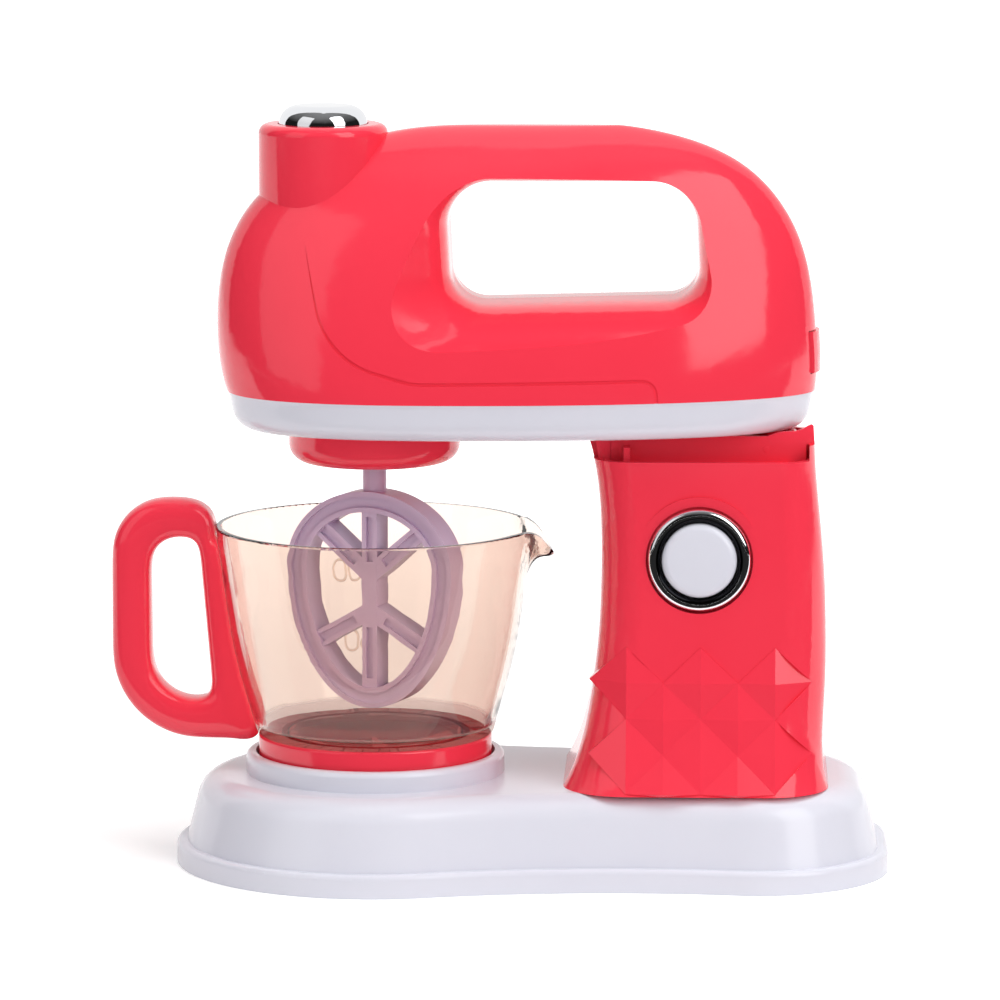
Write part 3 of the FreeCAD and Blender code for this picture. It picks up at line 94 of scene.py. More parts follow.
# %% Place the camera
AIM = Vector((0.0, 0.0, 98.4)) * MM
DISTANCE = 1618.0 * MM
RISE = math.radians(8.6)
TURN = math.radians(2.0)
FOCAL_LENGTH, SENSOR_WIDTH = 216.2, 36.0
away = Vector((math.cos(RISE) * math.sin(TURN), -math.cos(RISE) * math.cos(TURN), math.sin(RISE)))
lens = bpy.data.cameras.new("photo_camera")
lens.lens = FOCAL_LENGTH
lens.sensor_width = SENSOR_WIDTH
camera = placed("photo_camera", lens)
camera.location = AIM + away * DISTANCE
camera.rotation_euler = (-away).to_track_quat("-Z", "Y").to_euler()
scene.camera = camera
scene.view_settings.view_transform = "Standard"
print("camera at", [round(v / MM) for v in camera.location], "mm")

# %% [markdown]
# ## Node groups for the finishes
# Moulded plastic is never quite one colour. It has faint cloudy flow marks, a skin that is a little
# glossier in some places than in others, and a very fine ripple. Every plastic here shares those
# effects, so they are built once as a node group, and each material gives it its own colours.

# %% A helper that wires nodes together
def nodes_in(tree):
    """Two helpers for one node tree: one adds a node, one joins an output to an input."""
    def add(kind, **settings):
        node = tree.nodes.new(kind)
        for name, value in settings.items():
            setattr(node, name, value)
        return node

    def join(output, target):
        tree.links.new(output, target)
    return add, join


def group(name, inputs, outputs):
    """An empty shader group with named sockets: (name, kind, value) for each input."""
    tree = bpy.data.node_groups.new(name, "ShaderNodeTree")
    for label, kind, value in inputs:
        socket = tree.interface.new_socket(label, in_out="INPUT", socket_type=kind)
        socket.default_value = value
    for label, kind in outputs:
        tree.interface.new_socket(label, in_out="OUTPUT", socket_type=kind)
    add, join = nodes_in(tree)
    return tree, add, join, add("NodeGroupInput"), add("NodeGroupOutput")


# %% The skin of moulded plastic
FLOAT, COLOUR = "NodeSocketFloat", "NodeSocketColor"
moulded, add, join, given, result = group(
    "moulded_skin",
    [("Colour", COLOUR, (0.8, 0.8, 0.8, 1)), ("Cloud Colour", COLOUR, (0.7, 0.7, 0.7, 1)),
     ("Cloud Size", FLOAT, 60.0), ("Roughness", FLOAT, 0.2), ("Unevenness", FLOAT, 0.05)],
    [("Colour", COLOUR), ("Roughness", FLOAT), ("Height", FLOAT)])
place = add("ShaderNodeTexCoord")
clouds = add("ShaderNodeTexNoise")
clouds.inputs["Detail"].default_value = 3.0
join(place.outputs["Object"], clouds.inputs["Vector"])
join(given.outputs["Cloud Size"], clouds.inputs["Scale"])
tint = add("ShaderNodeMix", data_type="RGBA")
join(clouds.outputs["Fac"], tint.inputs["Factor"])
join(given.outputs["Colour"], tint.inputs["A"])
join(given.outputs["Cloud Colour"], tint.inputs["B"])
join(tint.outputs["Result"], result.inputs["Colour"])
patches = add("ShaderNodeTexNoise")
patches.inputs["Scale"].default_value = 25.0
patches.inputs["Detail"].default_value = 4.0
join(place.outputs["Object"], patches.inputs["Vector"])
spread = add("ShaderNodeMath", operation="MULTIPLY_ADD")
join(patches.outputs["Fac"], spread.inputs[0])
join(given.outputs["Unevenness"], spread.inputs[1])
join(given.outputs["Roughness"], spread.inputs[2])
join(spread.outputs["Value"], result.inputs["Roughness"])
ripple = add("ShaderNodeTexNoise")
ripple.inputs["Scale"].default_value = 900.0
ripple.inputs["Detail"].default_value = 2.0
join(place.outputs["Object"], ripple.inputs["Vector"])
join(ripple.outputs["Fac"], result.inputs["Height"])
print("node group:", moulded.name)


# %% A material around the group
finishes = {}


def new_material(slot):
    """A node material for one of the record's slots, with its shader and wiring helpers."""
    material = bpy.data.materials.new(slot)
    material.use_nodes = True
    finishes[slot] = material
    add, join = nodes_in(material.node_tree)
    return material, material.node_tree.nodes["Principled BSDF"], add, join


def skinned(slot, colour, cloud, roughness, unevenness=0.05, cloud_size=60.0, bump=0.02, **fixed):
    """A material whose colour, roughness and fine ripple come from the moulded skin."""
    material, shader, add, join = new_material(slot)
    skin = add("ShaderNodeGroup", node_tree=moulded)
    skin.inputs["Colour"].default_value = (*colour, 1)
    skin.inputs["Cloud Colour"].default_value = (*cloud, 1)
    skin.inputs["Cloud Size"].default_value = cloud_size
    skin.inputs["Roughness"].default_value = roughness
    skin.inputs["Unevenness"].default_value = unevenness
    join(skin.outputs["Colour"], shader.inputs["Base Color"])
    join(skin.outputs["Roughness"], shader.inputs["Roughness"])
    relief = add("ShaderNodeBump")
    relief.inputs["Strength"].default_value = bump
    relief.inputs["Distance"].default_value = 0.1 * MM
    join(skin.outputs["Height"], relief.inputs["Height"])
    join(relief.outputs["Normal"], shader.inputs["Normal"])
    for name, value in fixed.items():
        shader.inputs[name.replace("_", " ")].default_value = value
    return material


# %% [markdown]
# ## The finishes
# The housing is a glossy coral red, the base and the band under the head a cool white, and the
# beater a pale lilac. Trim is plated plastic, which looks like chrome. A colour is given as it is
# under plain light, and the lamps are set so that it comes out as written.

# %% A painted reflection: the black band inside the power button's chrome ring
RIM_WIDTH, RIM_EDGE = 2.1 * MM, 0.2 * MM


def paint_ring_reflection(material):
    """Painted reflection: a black band in the chrome ring round the power button, told by distance from
    its axis.
    """
    add, join = nodes_in(material.node_tree)
    shader = material.node_tree.nodes["Principled BSDF"]
    plating = shader.inputs["Base Color"].links[0].from_socket
    low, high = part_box("button_ring")
    place = add("ShaderNodeTexCoord")
    split = add("ShaderNodeSeparateXYZ")
    join(place.outputs["Object"], split.inputs["Vector"])
    flat = add("ShaderNodeCombineXYZ")
    join(split.outputs["X"], flat.inputs["X"])
    join(split.outputs["Z"], flat.inputs["Z"])
    away = add("ShaderNodeVectorMath", operation="DISTANCE")
    away.inputs[1].default_value = ((low[0] + high[0]) / 2, 0, (low[2] + high[2]) / 2)
    join(flat.outputs["Vector"], away.inputs[0])
    band = add("ShaderNodeMapRange")
    rim = (high[0] - low[0]) / 2 - RIM_WIDTH
    band.inputs["From Min"].default_value = rim
    band.inputs["From Max"].default_value = rim - RIM_EDGE
    join(away.outputs["Value"], band.inputs["Value"])
    # The painted reflection: a near-black base colour in a band just inside the ring's rim
    painted_reflection = add("ShaderNodeMix", data_type="RGBA")
    painted_reflection.inputs["B"].default_value = (0.012, 0.012, 0.014, 1)
    join(band.outputs["Result"], painted_reflection.inputs["Factor"])
    join(plating, painted_reflection.inputs["A"])
    join(painted_reflection.outputs["Result"], shader.inputs["Base Color"])


# %% Plastics and metals
skinned("red_plastic", (0.97, 0.046, 0.083), (0.95, 0.041, 0.076), 0.09, unevenness=0.04)
skinned("white_plastic", (0.78, 0.78, 0.86), (0.75, 0.75, 0.84), 0.16)
skinned("lilac_plastic", (0.64, 0.50, 0.69), (0.60, 0.47, 0.66), 0.32)
skinned("gear_plastic", (0.78, 0.76, 0.70), (0.70, 0.68, 0.62), 0.38)
skinned("dark_plastic", (0.022, 0.022, 0.026), (0.04, 0.04, 0.045), 0.4)
# The chrome trim gets a painted reflection, a black band inside the power button's ring
paint_ring_reflection(skinned("chrome_trim", (0.86, 0.87, 0.89), (0.82, 0.83, 0.86), 0.03, unevenness=0.03,
                    bump=0.004, Metallic=1.0))
skinned("plated_metal", (0.60, 0.60, 0.62), (0.48, 0.48, 0.50), 0.22, cloud_size=300.0, Metallic=1.0)
skinned("screw_steel", (0.50, 0.50, 0.53), (0.38, 0.38, 0.40), 0.25, cloud_size=400.0, Metallic=1.0)
skinned("brass_metal", (0.70, 0.48, 0.18), (0.55, 0.36, 0.12), 0.25, cloud_size=300.0, Metallic=1.0)
skinned("battery_cell", (0.03, 0.03, 0.04), (0.06, 0.06, 0.07), 0.3)
print("finishes:", sorted(finishes))

# %% [markdown]
# ## Clear amber
# The bowl is thin clear plastic. Light that crosses a wall takes its colour once, and the picture
# shows it through two walls, so the written colour is the root of the one seen. Lamps would leave
# the inside dark, because a ray tracer stops their light at clear plastic, so the plastic lets
# shadow rays through and tints them. The floor is thicker and frosted, and shows the red disc under
# it rather than a mirror image of the wall.

# %% The bowl's clear plastic
FLOOR_LEVEL, FLOOR_EDGE = 38.6 * MM, 1.0 * MM
CLEAR, FROSTED = 0.02, 0.45
amber, shader, add, join = new_material("amber_clear")
place = add("ShaderNodeTexCoord")
streaks = add("ShaderNodeTexNoise")
streaks.inputs["Scale"].default_value = 40.0
join(place.outputs["Object"], streaks.inputs["Vector"])
tone = add("ShaderNodeMix", data_type="RGBA")
tone.inputs["A"].default_value = (0.87, 0.76, 0.70, 1)
tone.inputs["B"].default_value = (0.86, 0.75, 0.68, 1)
join(streaks.outputs["Fac"], tone.inputs["Factor"])
height = add("ShaderNodeSeparateXYZ")
join(place.outputs["Object"], height.inputs["Vector"])
floor = add("ShaderNodeMapRange")
floor.inputs["From Min"].default_value = FLOOR_LEVEL
floor.inputs["From Max"].default_value = FLOOR_LEVEL - FLOOR_EDGE
join(height.outputs["Z"], floor.inputs["Value"])
deeper = add("ShaderNodeMix", data_type="RGBA")
deeper.inputs["B"].default_value = (0.62, 0.50, 0.47, 1)
join(floor.outputs["Result"], deeper.inputs["Factor"])
join(tone.outputs["Result"], deeper.inputs["A"])
join(deeper.outputs["Result"], shader.inputs["Base Color"])
frosting = add("ShaderNodeMapRange")
frosting.inputs["To Min"].default_value = CLEAR
frosting.inputs["To Max"].default_value = FROSTED
join(floor.outputs["Result"], frosting.inputs["Value"])
join(frosting.outputs["Result"], shader.inputs["Roughness"])
shader.inputs["Transmission Weight"].default_value = 1.0
shader.inputs["IOR"].default_value = 1.45

# %% Light that passes straight through it
FLOOR_CLEARNESS = 0.95
rays = add("ShaderNodeLightPath")
passing = add("ShaderNodeBsdfTransparent")
thinner = add("ShaderNodeGamma")
thinner.inputs["Gamma"].default_value = 0.5
join(deeper.outputs["Result"], thinner.inputs["Color"])
join(thinner.outputs["Color"], passing.inputs["Color"])
see_through = add("ShaderNodeMath", operation="MULTIPLY")
see_through.inputs[1].default_value = FLOOR_CLEARNESS
join(floor.outputs["Result"], see_through.inputs[0])
either = add("ShaderNodeMath", operation="MAXIMUM")
join(rays.outputs["Is Shadow Ray"], either.inputs[0])
join(see_through.outputs["Value"], either.inputs[1])
lit_through = add("ShaderNodeMixShader")
join(either.outputs["Value"], lit_through.inputs["Fac"])
join(shader.outputs["BSDF"], lit_through.inputs[1])
join(passing.outputs["BSDF"], lit_through.inputs[2])
join(lit_through.outputs["Shader"], amber.node_tree.nodes["Material Output"].inputs["Surface"])
print("clear plastic:", len(amber.node_tree.nodes), "nodes")

# %% [markdown]
# ## Smooth skins over the construction pieces
# A construction piece comes as loose, flat triangles. They hold the exact shape, but a glossy
# finish shows each one. A welded copy keeps the shape, and smooth shading lets light run over it.
# Creases stay sharp where two faces meet at a real angle. A faceted piece needs one more rule: two
# large flat faces always meet in a crease, however gentle.

# %% Weld a copy and mark its creases
WELD = 0.002 * MM
LEAST_FOLD = 1.5


def welded(node):
    """A merged copy of a construction piece, as a bmesh."""
    bm = bmesh.new()
    bm.from_mesh(frame["nodes"][node].data)
    bmesh.ops.remove_doubles(bm, verts=bm.verts[:], dist=WELD)
    bmesh.ops.dissolve_degenerate(bm, edges=bm.edges[:], dist=WELD)
    return bm


def flat_areas(bm, tilt=math.radians(0.15)):
    """The area of the flat region that each face belongs to."""
    area = {}
    for start in bm.faces:
        if start in area:
            continue
        region, waiting = {start}, [start]
        while waiting:
            face = waiting.pop()
            for edge in face.edges:
                for other in edge.link_faces:
                    if other not in region and edge.calc_face_angle(0) < tilt:
                        region.add(other)
                        waiting.append(other)
        total = sum(face.calc_area() for face in region)
        for face in region:
            area[face] = total
    return area


def crease(bm, angle=32.0, flat=None):
    """Smooth shading, with sharp edges past an angle, and between flat faces of some size."""
    areas = flat_areas(bm) if flat else {}
    for face in bm.faces:
        face.smooth = True
    for edge in bm.edges:
        turn = math.degrees(edge.calc_face_angle(0))
        keen = turn > angle
        if flat and turn > LEAST_FOLD and all(areas[face] > flat for face in edge.link_faces):
            keen = True
        edge.smooth = not keen


def piece(bm, name, body, slot, replaced=()):
    """Turn a bmesh into a piece that rides on a body and wears a finish."""
    mesh = bpy.data.meshes.new(name)
    bm.to_mesh(mesh)
    bm.free()
    made = placed(name, mesh)
    mesh.materials.append(finishes[slot])
    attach(made, body)
    if replaced:
        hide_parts(*replaced)
    print("piece", name, "on", body, "with", len(mesh.polygons), "faces")
    return made


FLOOR_ENDS, FLOOR_BACK, FLOOR_SPAN = (27.7, 84.3), 20.7, (99.9, 102.1)
TUCK = 2.0


def tuck_corners(bm):
    """Draw in the two corners of the hinge housing's floor, which peep through the column's wall."""
    tucked = 0
    for vert in bm.verts:
        x, y, z = vert.co / MM
        left, right = x < FLOOR_ENDS[0], x > FLOOR_ENDS[1]
        if y > FLOOR_BACK and FLOOR_SPAN[0] < z < FLOOR_SPAN[1] and (left or right):
            vert.co += Vector((TUCK if left else -TUCK, -TUCK, 0)) * MM
            tucked += 1
    print("corners tucked in:", tucked)


def skin_over(node, flat=None):
    """A smooth copy that stands for a construction piece."""
    bm = welded(node)
    if node == "column_back":
        tuck_corners(bm)
    crease(bm, flat=flat)
    made = piece(bm, node + "_skin", frame["nodes"][node]["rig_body"], slot_of[node], [node])
    even = made.modifiers.new("Even shading", "WEIGHTED_NORMAL")
    even.keep_sharp = True


# %% Skins for every piece that shows
SMOOTH = ["base_shell", "base_cover", "battery_door", "turntable", "bowl_shell", "column_back",
          "button_ring", "power_button", "head_front_half", "head_back_half", "head_tray", "hinge_neck",
          "collar", "top_button", "release_tab", "beater", "spindle", "hinge_pin"]
REBUILT = ["column_front", "bowl_handle", "button_spring", "top_button_spring", "release_spring",
           "base_screws", "battery_door_screw", "head_screws"]
FACET_AREA = 8.0 * MM * MM
for node in SMOOTH:
    skin_over(node)
skin_over("column_front", flat=FACET_AREA)

# %% [markdown]
# ## The bowl's handle
# The handle is a closed ear of solid plastic, round to the hand. Its construction piece has the
# right outline but rather flat sides. A pipe along a curve would be rounder but would lose the
# outline, so the copy is remeshed evenly and smoothed, except close to the bowl, where it joins.

# %% The bowl's outer wall
BOWL_AXIS = -33.8
BELLY_HEIGHT, BELLY_RADIUS = 58.0, 38.4
RIM_HEIGHT, RIM_RADIUS = 91.6, 43.0


def wall_radius(height):
    """The bowl's outer radius at a height, a straight line through its belly and its rim."""
    share = (height - BELLY_HEIGHT) / (RIM_HEIGHT - BELLY_HEIGHT)
    return BELLY_RADIUS + (RIM_RADIUS - BELLY_RADIUS) * share


print("wall radius at the rim:", wall_radius(RIM_HEIGHT), "mm")

# %% Round the handle
GRAIN = 0.55 * MM
JOIN_MARGIN, JOIN_BLEND = 1.5, 4.0
ROUNDS, SETTLING_ROUNDS, PULL, SETTLING_PULL = 90, 5, 0.5, 0.3
bm = welded("bowl_handle")
handle = piece(bm, "bowl_handle_round", "bowl", slot_of["bowl_handle"], ["bowl_handle"])
even = handle.modifiers.new("Even mesh", "REMESH")
even.mode = "VOXEL"
even.voxel_size = GRAIN
shape = bpy.data.meshes.new_from_object(handle.evaluated_get(bpy.context.evaluated_depsgraph_get()))
handle.modifiers.clear()
bm = bmesh.new()
bm.from_mesh(shape)
freedom = {}
for vert in bm.verts:
    reach = math.hypot(vert.co.x / MM - BOWL_AXIS, vert.co.y / MM)
    clear_of_wall = reach - wall_radius(vert.co.z / MM) - JOIN_MARGIN
    freedom[vert] = min(max(clear_of_wall / JOIN_BLEND, 0.0), 1.0)
for turn in range(ROUNDS):
    least = SETTLING_PULL if turn < SETTLING_ROUNDS else 0.0
    moved = {}
    for vert in bm.verts:
        if freedom[vert] > 0 or least > 0:
            near = [edge.other_vert(vert).co for edge in vert.link_edges]
            mean = sum(near, Vector()) / len(near)
            moved[vert] = vert.co.lerp(mean, PULL * max(freedom[vert], least))
    for vert, spot in moved.items():
        vert.co = spot
for face in bm.faces:
    face.smooth = True
bm.to_mesh(handle.data)
bm.free()
print("handle faces:", len(handle.data.polygons))

# %% [markdown]
# ## The hinge housing's front edge
# Above the column's front rim the picture shows a smooth red panel that runs up to the head's band.
# The construction model has most of it, and stops short at both ends, on the right because the
# head swings there. Two plates carry it on, shaped so that the swinging head clears them. Each is
# drawn as an outline, given a thickness and bevelled, which is simpler than cutting it from a block.

# %% The plates beside the hinge
RIGHT_PLATE = [(72.0, 116.0), (72.0, 118.3), (74.0, 119.0), (76.0, 119.4), (79.0, 119.5),
               (81.0, 120.1), (82.5, 121.0), (83.4, 121.4), (84.0, 121.0), (84.3, 116.0)]
LEFT_PLATE = [(27.4, 108.0), (26.0, 117.3), (26.6, 118.1), (30.1, 118.1), (30.1, 108.0)]
PLATE_FRONT, PLATE_BACK, PLATE_FOOT, PLATE_BEVEL = -14.5, -13.5, 116.2, 0.25


def hinge_plate(name, outline):
    """A bevelled plate in the plane of the housing's front panel."""
    bm = bmesh.new()
    face = bm.faces.new([bm.verts.new((x * MM, PLATE_FRONT * MM, z * MM)) for x, z in outline])
    grown = bmesh.ops.extrude_face_region(bm, geom=[face])
    behind = [item for item in grown["geom"] if isinstance(item, bmesh.types.BMVert)]
    bmesh.ops.translate(bm, verts=behind, vec=(0, (PLATE_BACK - PLATE_FRONT) * MM, 0))
    bmesh.ops.recalc_face_normals(bm, faces=bm.faces[:])
    top_edges = [edge for edge in bm.edges if min(vert.co.z for vert in edge.verts) > PLATE_FOOT * MM
                 and abs(edge.verts[0].co.y - edge.verts[1].co.y) < 1e-6]
    bmesh.ops.bevel(bm, geom=top_edges, offset=PLATE_BEVEL * MM, offset_type="OFFSET", segments=2,
                    profile=0.5, affect="EDGES", material=-1)
    crease(bm, 40.0)
    piece(bm, name, "stand", "red_plastic")


hinge_plate("hinge_plate_right", RIGHT_PLATE)
hinge_plate("hinge_plate_left", LEFT_PLATE)

# %% [markdown]
# ## The raised numbers on the bowl
# The bowl's far wall carries raised volume marks, moulded with it. They could be carved into the
# mould's skin, but thin raised strokes are what shows: light bends along both edges of each stroke.
# Each digit is drawn as a path of strokes, bent round the wall and given a round section.

# %% Digits as rounded tubes
DIGIT_HEIGHT, DIGIT_WIDTH, DIGIT_PITCH, STROKE = 5.8, 3.5, 4.3, 0.35


def ring_path(width, height, count=40):
    """A tall rounded ring, as the digit nought is drawn."""
    points = []
    for step in range(count):
        angle = 2 * math.pi * step / count
        points.append((width / 2 * math.copysign(abs(math.cos(angle)) ** 0.8, math.cos(angle)),
                       height / 2 * math.copysign(abs(math.sin(angle)) ** 0.8, math.sin(angle))))
    return points, True


def hooked_path(width, height, count=24):
    """The digit five: a flag, a short upright and a round belly."""
    points = [(width / 2, height / 2), (-width * 0.36, height / 2), (-width / 2, height * 0.06)]
    for step in range(count + 1):
        angle = math.radians(135 - 285 * step / count)
        points.append((width / 2 * math.cos(angle), -height * 0.19 + height * 0.31 * math.sin(angle)))
    return points, False


def stem_path(width, height):
    """The digit one: an upright with a short flag."""
    return [(-width * 0.3, height * 0.3), (0, height / 2), (0, -height / 2)], False


DIGITS = {"0": ring_path, "5": hooked_path, "1": stem_path}


def raised_number(name, number, along, height):
    """A number on the far wall, which reads from behind: on the wall, its strokes run towards -X."""
    lines = bpy.data.curves.new(name, "CURVE")
    lines.dimensions = "3D"
    lines.bevel_depth = STROKE * MM
    lines.bevel_resolution = 2
    lines.use_fill_caps = True
    for place, digit in enumerate(number):
        points, closed = DIGITS[digit](DIGIT_WIDTH, DIGIT_HEIGHT)
        stroke = lines.splines.new("POLY")
        stroke.points.add(len(points) - 1)
        stroke.use_cyclic_u = closed
        for mark, (x, z) in zip(stroke.points, points):
            across = along - DIGIT_PITCH * (place - (len(number) - 1) / 2) - x - BOWL_AXIS
            level = height + z
            reach = wall_radius(level)
            depth = math.sqrt(reach * reach - across * across)
            mark.co = ((BOWL_AXIS + across) * MM, depth * MM, level * MM, 1)
    made = placed(name, lines)
    lines.materials.append(finishes["amber_clear"])
    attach(made, "bowl")
    print("piece", name, "with", len(lines.splines), "strokes")


raised_number("mark_upper", "100", -41.6, 72.9)
raised_number("mark_lower", "50", -40.3, 53.2)

# %% [markdown]
# ## Coil springs
# The construction model has plain sleeves for its three springs. The real ones are wound wire, a few
# open turns between two closed ones. A spring could be spun as a bmesh spiral, but a path of points
# from the helix formula with a round section is shorter, and its turns are easy to count.

# %% A wound spring
STEPS_IN_A_TURN, WIRE_SIDES = 28, 8


def coil(node, axis, wire, turns):
    """A wound spring that fills its sleeve's box, with a closed turn at each end."""
    low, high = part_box(node)
    low, high = Vector(low), Vector(high)
    middle = (low + high) / 2
    length = (high - low)[axis]
    side, up = [other for other in range(3) if other != axis]
    radius = (high - low)[side] / 2 - wire
    bm = bmesh.new()
    count = STEPS_IN_A_TURN * turns
    rings = []
    for step in range(count + 1):
        share = step / count
        rise = min(max((share * turns - 1.0) / (turns - 2.0), 0.0), 1.0)
        settle = wire * 2 * (min(share * turns, 1.0) + max(share * turns - turns + 1.0, 0.0) - 1.0)
        along = wire * 3 + settle + (length - 6 * wire) * rise
        angle = 2 * math.pi * turns * share
        ring = []
        for part in range(WIRE_SIDES):
            round_angle = 2 * math.pi * part / WIRE_SIDES
            out = radius + wire * math.cos(round_angle)
            point = Vector((0, 0, 0))
            point[axis] = low[axis] + along + wire * math.sin(round_angle)
            point[side] = middle[side] + out * math.cos(angle)
            point[up] = middle[up] + out * math.sin(angle)
            ring.append(bm.verts.new(point))
        rings.append(ring)
    for one, two in zip(rings, rings[1:]):
        for part in range(WIRE_SIDES):
            after = (part + 1) % WIRE_SIDES
            bm.faces.new((one[part], one[after], two[after], two[part]))
    bm.faces.new(rings[0])
    bm.faces.new(rings[-1])
    bmesh.ops.recalc_face_normals(bm, faces=bm.faces[:])
    for face in bm.faces:
        face.smooth = len(face.verts) == 4
    made = piece(bm, node + "_coil", frame["nodes"][node]["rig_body"], slot_of[node], [node])
    return made, length


# %% Wind the three springs
for node, out, wire, turns, joint, travel in (
        ("button_spring", (0, -1, 0), 0.3, 6, "power_press", 2.5),
        ("top_button_spring", (0, 0, 1), 0.3, 8, "top_press", 2.5),
        ("release_spring", (1, 0, 0), 0.22, 6, "release_press", 1.5)):
    axis = [abs(share) for share in out].index(1)
    made, length = coil(node, axis, wire * MM, turns)
    low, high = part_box(node)
    stop = [(a + b) / 2 for a, b in zip(low, high)]
    stop[axis] = high[axis] if out[axis] < 0 else low[axis]
    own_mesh(made)

# %% [markdown]
# ## Screw heads
# Small cross-head screws close the base, its battery door and the head. Each head is a low dome with
# a cross pressed into it. The cross is cut as a grid over the dome's flat top, whose cross-shaped
# cells are then pushed in, because a real cross is only three cuts wide.

# %% A screw head with a cross
CROSS_REACH, CROSS_WIDTH, CROSS_DEPTH = 0.62, 0.17, 0.6


def turned_out(bm, verts, outward, middle):
    """Turn what was made upright so that it points outward, and bring it to its place."""
    turn = Vector((0, 0, 1)).rotation_difference(Vector(outward)).to_matrix()
    bmesh.ops.rotate(bm, verts=verts, matrix=turn, cent=(0, 0, 0))
    bmesh.ops.translate(bm, verts=verts, vec=Vector(middle))


def screw_head(bm, middle, outward, radius, height):
    """Make one screw head, its outer face towards a direction."""
    bmesh.ops.create_cone(bm, cap_ends=True, segments=32, radius1=radius, radius2=radius, depth=height)
    rim = [edge for edge in bm.edges if min(v.co.z for v in edge.verts) > height * 0.4]
    bmesh.ops.bevel(bm, geom=rim, offset=height * 0.55, offset_type="OFFSET", segments=4, profile=0.5,
                    affect="EDGES", material=-1)
    top = max(v.co.z for v in bm.verts)
    for axis in range(2):
        for shift in (-CROSS_REACH, -CROSS_WIDTH, CROSS_WIDTH, CROSS_REACH):
            plane = Vector((0, 0, 0))
            plane[axis] = 1.0
            cap = [face for face in bm.faces if face.calc_center_median().z > top - 1e-6]
            edges = list({edge for face in cap for edge in face.edges})
            verts = list({vert for face in cap for vert in face.verts})
            bmesh.ops.bisect_plane(bm, geom=cap + edges + verts, dist=1e-7,
                                   plane_co=plane * radius * shift, plane_no=plane)
    cross = []
    for face in bm.faces:
        spot = face.calc_center_median()
        across, up = abs(spot.x) / radius, abs(spot.y) / radius
        if spot.z > top - 1e-6 and min(across, up) < CROSS_WIDTH and max(across, up) < CROSS_REACH:
            cross.append(face)
    pressed = bmesh.ops.extrude_face_region(bm, geom=cross)
    deep = [item for item in pressed["geom"] if isinstance(item, bmesh.types.BMVert)]
    bmesh.ops.delete(bm, geom=cross, context="FACES_ONLY")
    bmesh.ops.translate(bm, verts=deep, vec=(0, 0, -height * CROSS_DEPTH))
    turned_out(bm, bm.verts[:], outward, middle + outward * height / 2)


# %% Dress the screws that can be seen
SCREW_HEAD, SCREW_SHANK = 1.8 * MM, 1.1 * MM


def screw_boxes(node):
    """The box of each screw, from the loose pieces of a construction node."""
    bm = welded(node)
    left, found = set(bm.verts), []
    while left:
        screw, waiting = [], [left.pop()]
        while waiting:
            vert = waiting.pop()
            screw.append(vert.co.copy())
            for edge in vert.link_edges:
                other = edge.other_vert(vert)
                if other in left:
                    left.remove(other)
                    waiting.append(other)
        found.append([Vector(extreme(spot[i] for spot in screw) for i in range(3))
                      for extreme in (min, max)])
    bm.free()
    return found


def dress_screws(node, outward, length):
    """Heads with crosses and plain shanks for a whole set of screws."""
    whole = bmesh.new()
    out = Vector(outward)
    axis = [abs(share) for share in outward].index(1)
    across = 1 if axis == 0 else 0
    for low, high in screw_boxes(node):
        middle = (low + high) / 2
        outer = high[axis] if out[axis] > 0 else low[axis]
        radius = (high - low)[across] / 2
        middle[axis] = outer - out[axis] * SCREW_HEAD
        one = bmesh.new()
        screw_head(one, middle, out, radius, SCREW_HEAD)
        shank = bmesh.ops.create_cone(one, cap_ends=True, segments=16, radius1=SCREW_SHANK * 0.6,
                                      radius2=SCREW_SHANK, depth=length - SCREW_HEAD)
        turned_out(one, shank["verts"], out, middle - out * (length - SCREW_HEAD) / 2)
        mesh = bpy.data.meshes.new("one_screw")
        one.to_mesh(mesh)
        one.free()
        whole.from_mesh(mesh)
        bpy.data.meshes.remove(mesh)
    bmesh.ops.recalc_face_normals(whole, faces=whole.faces[:])
    crease(whole, 30.0)
    piece(whole, node + "_crossed", frame["nodes"][node]["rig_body"], slot_of[node], [node])


dress_screws("base_screws", (0, 0, -1), 11.0 * MM)
dress_screws("battery_door_screw", (0, 0, -1), 10.0 * MM)
dress_screws("head_screws", (0, 1, 0), 12.3 * MM)

# %% [markdown]
# ## The ejector mark
# Pins push a moulding out of its mould and leave a low round mark. The picture shows one on the
# hinge housing, under the head. It is a thin disc with a rounded rim, spun from its outline.

# %% The round mark
def pin_mark(name, body, slot, middle, outward, radius, height):
    """A low disc with a rounded rim."""
    bm = bmesh.new()
    outline = [(0, height), (radius * 0.8, height), (radius * 0.95, height * 0.7), (radius, 0), (0, 0)]
    ring = [bm.verts.new((x * MM, 0, z * MM)) for x, z in outline]
    lines = [bm.edges.new(pair) for pair in zip(ring, ring[1:])]
    bmesh.ops.spin(bm, geom=ring + lines, cent=(0, 0, 0), axis=(0, 0, 1), angle=2 * math.pi, steps=32,
                   use_merge=True)
    bmesh.ops.remove_doubles(bm, verts=bm.verts[:], dist=1e-6)
    bmesh.ops.recalc_face_normals(bm, faces=bm.faces[:])
    turned_out(bm, bm.verts[:], outward, Vector(middle) * MM)
    crease(bm, 40.0)
    piece(bm, name, body, slot)


pin_mark("housing_mark", "stand", "red_plastic", (71.4, -14.46, 114.6), (0, -1, 0), 0.9, 0.12)

# %% [markdown]
# ## The pieces inside
# The gears, motor, cells and switches are hidden, and their flat faces are good enough. They still
# get real finishes, because another view may open the toy up.

# %% Finishes for the hidden pieces
hidden = [node for node in slot_of if node not in SMOOTH + REBUILT]
for node in hidden:
    holder = frame["nodes"][node]
    holder.data.materials.clear()
    holder.data.materials.append(finishes[slot_of[node]])
print("hidden pieces:", len(hidden))

# %% [markdown]
# ## The studio
# The toy stands on a white table that runs out of sight, so the picture's ground is plain white.
# The studio's far side is white and its near side is dark, as the picture's plated pieces show: they
# mirror a dark room with one big soft lamp on each side. A dark curtain behind the camera and a dark
# mat on the floor before it do this. They show only in reflections and take no light off the toy.

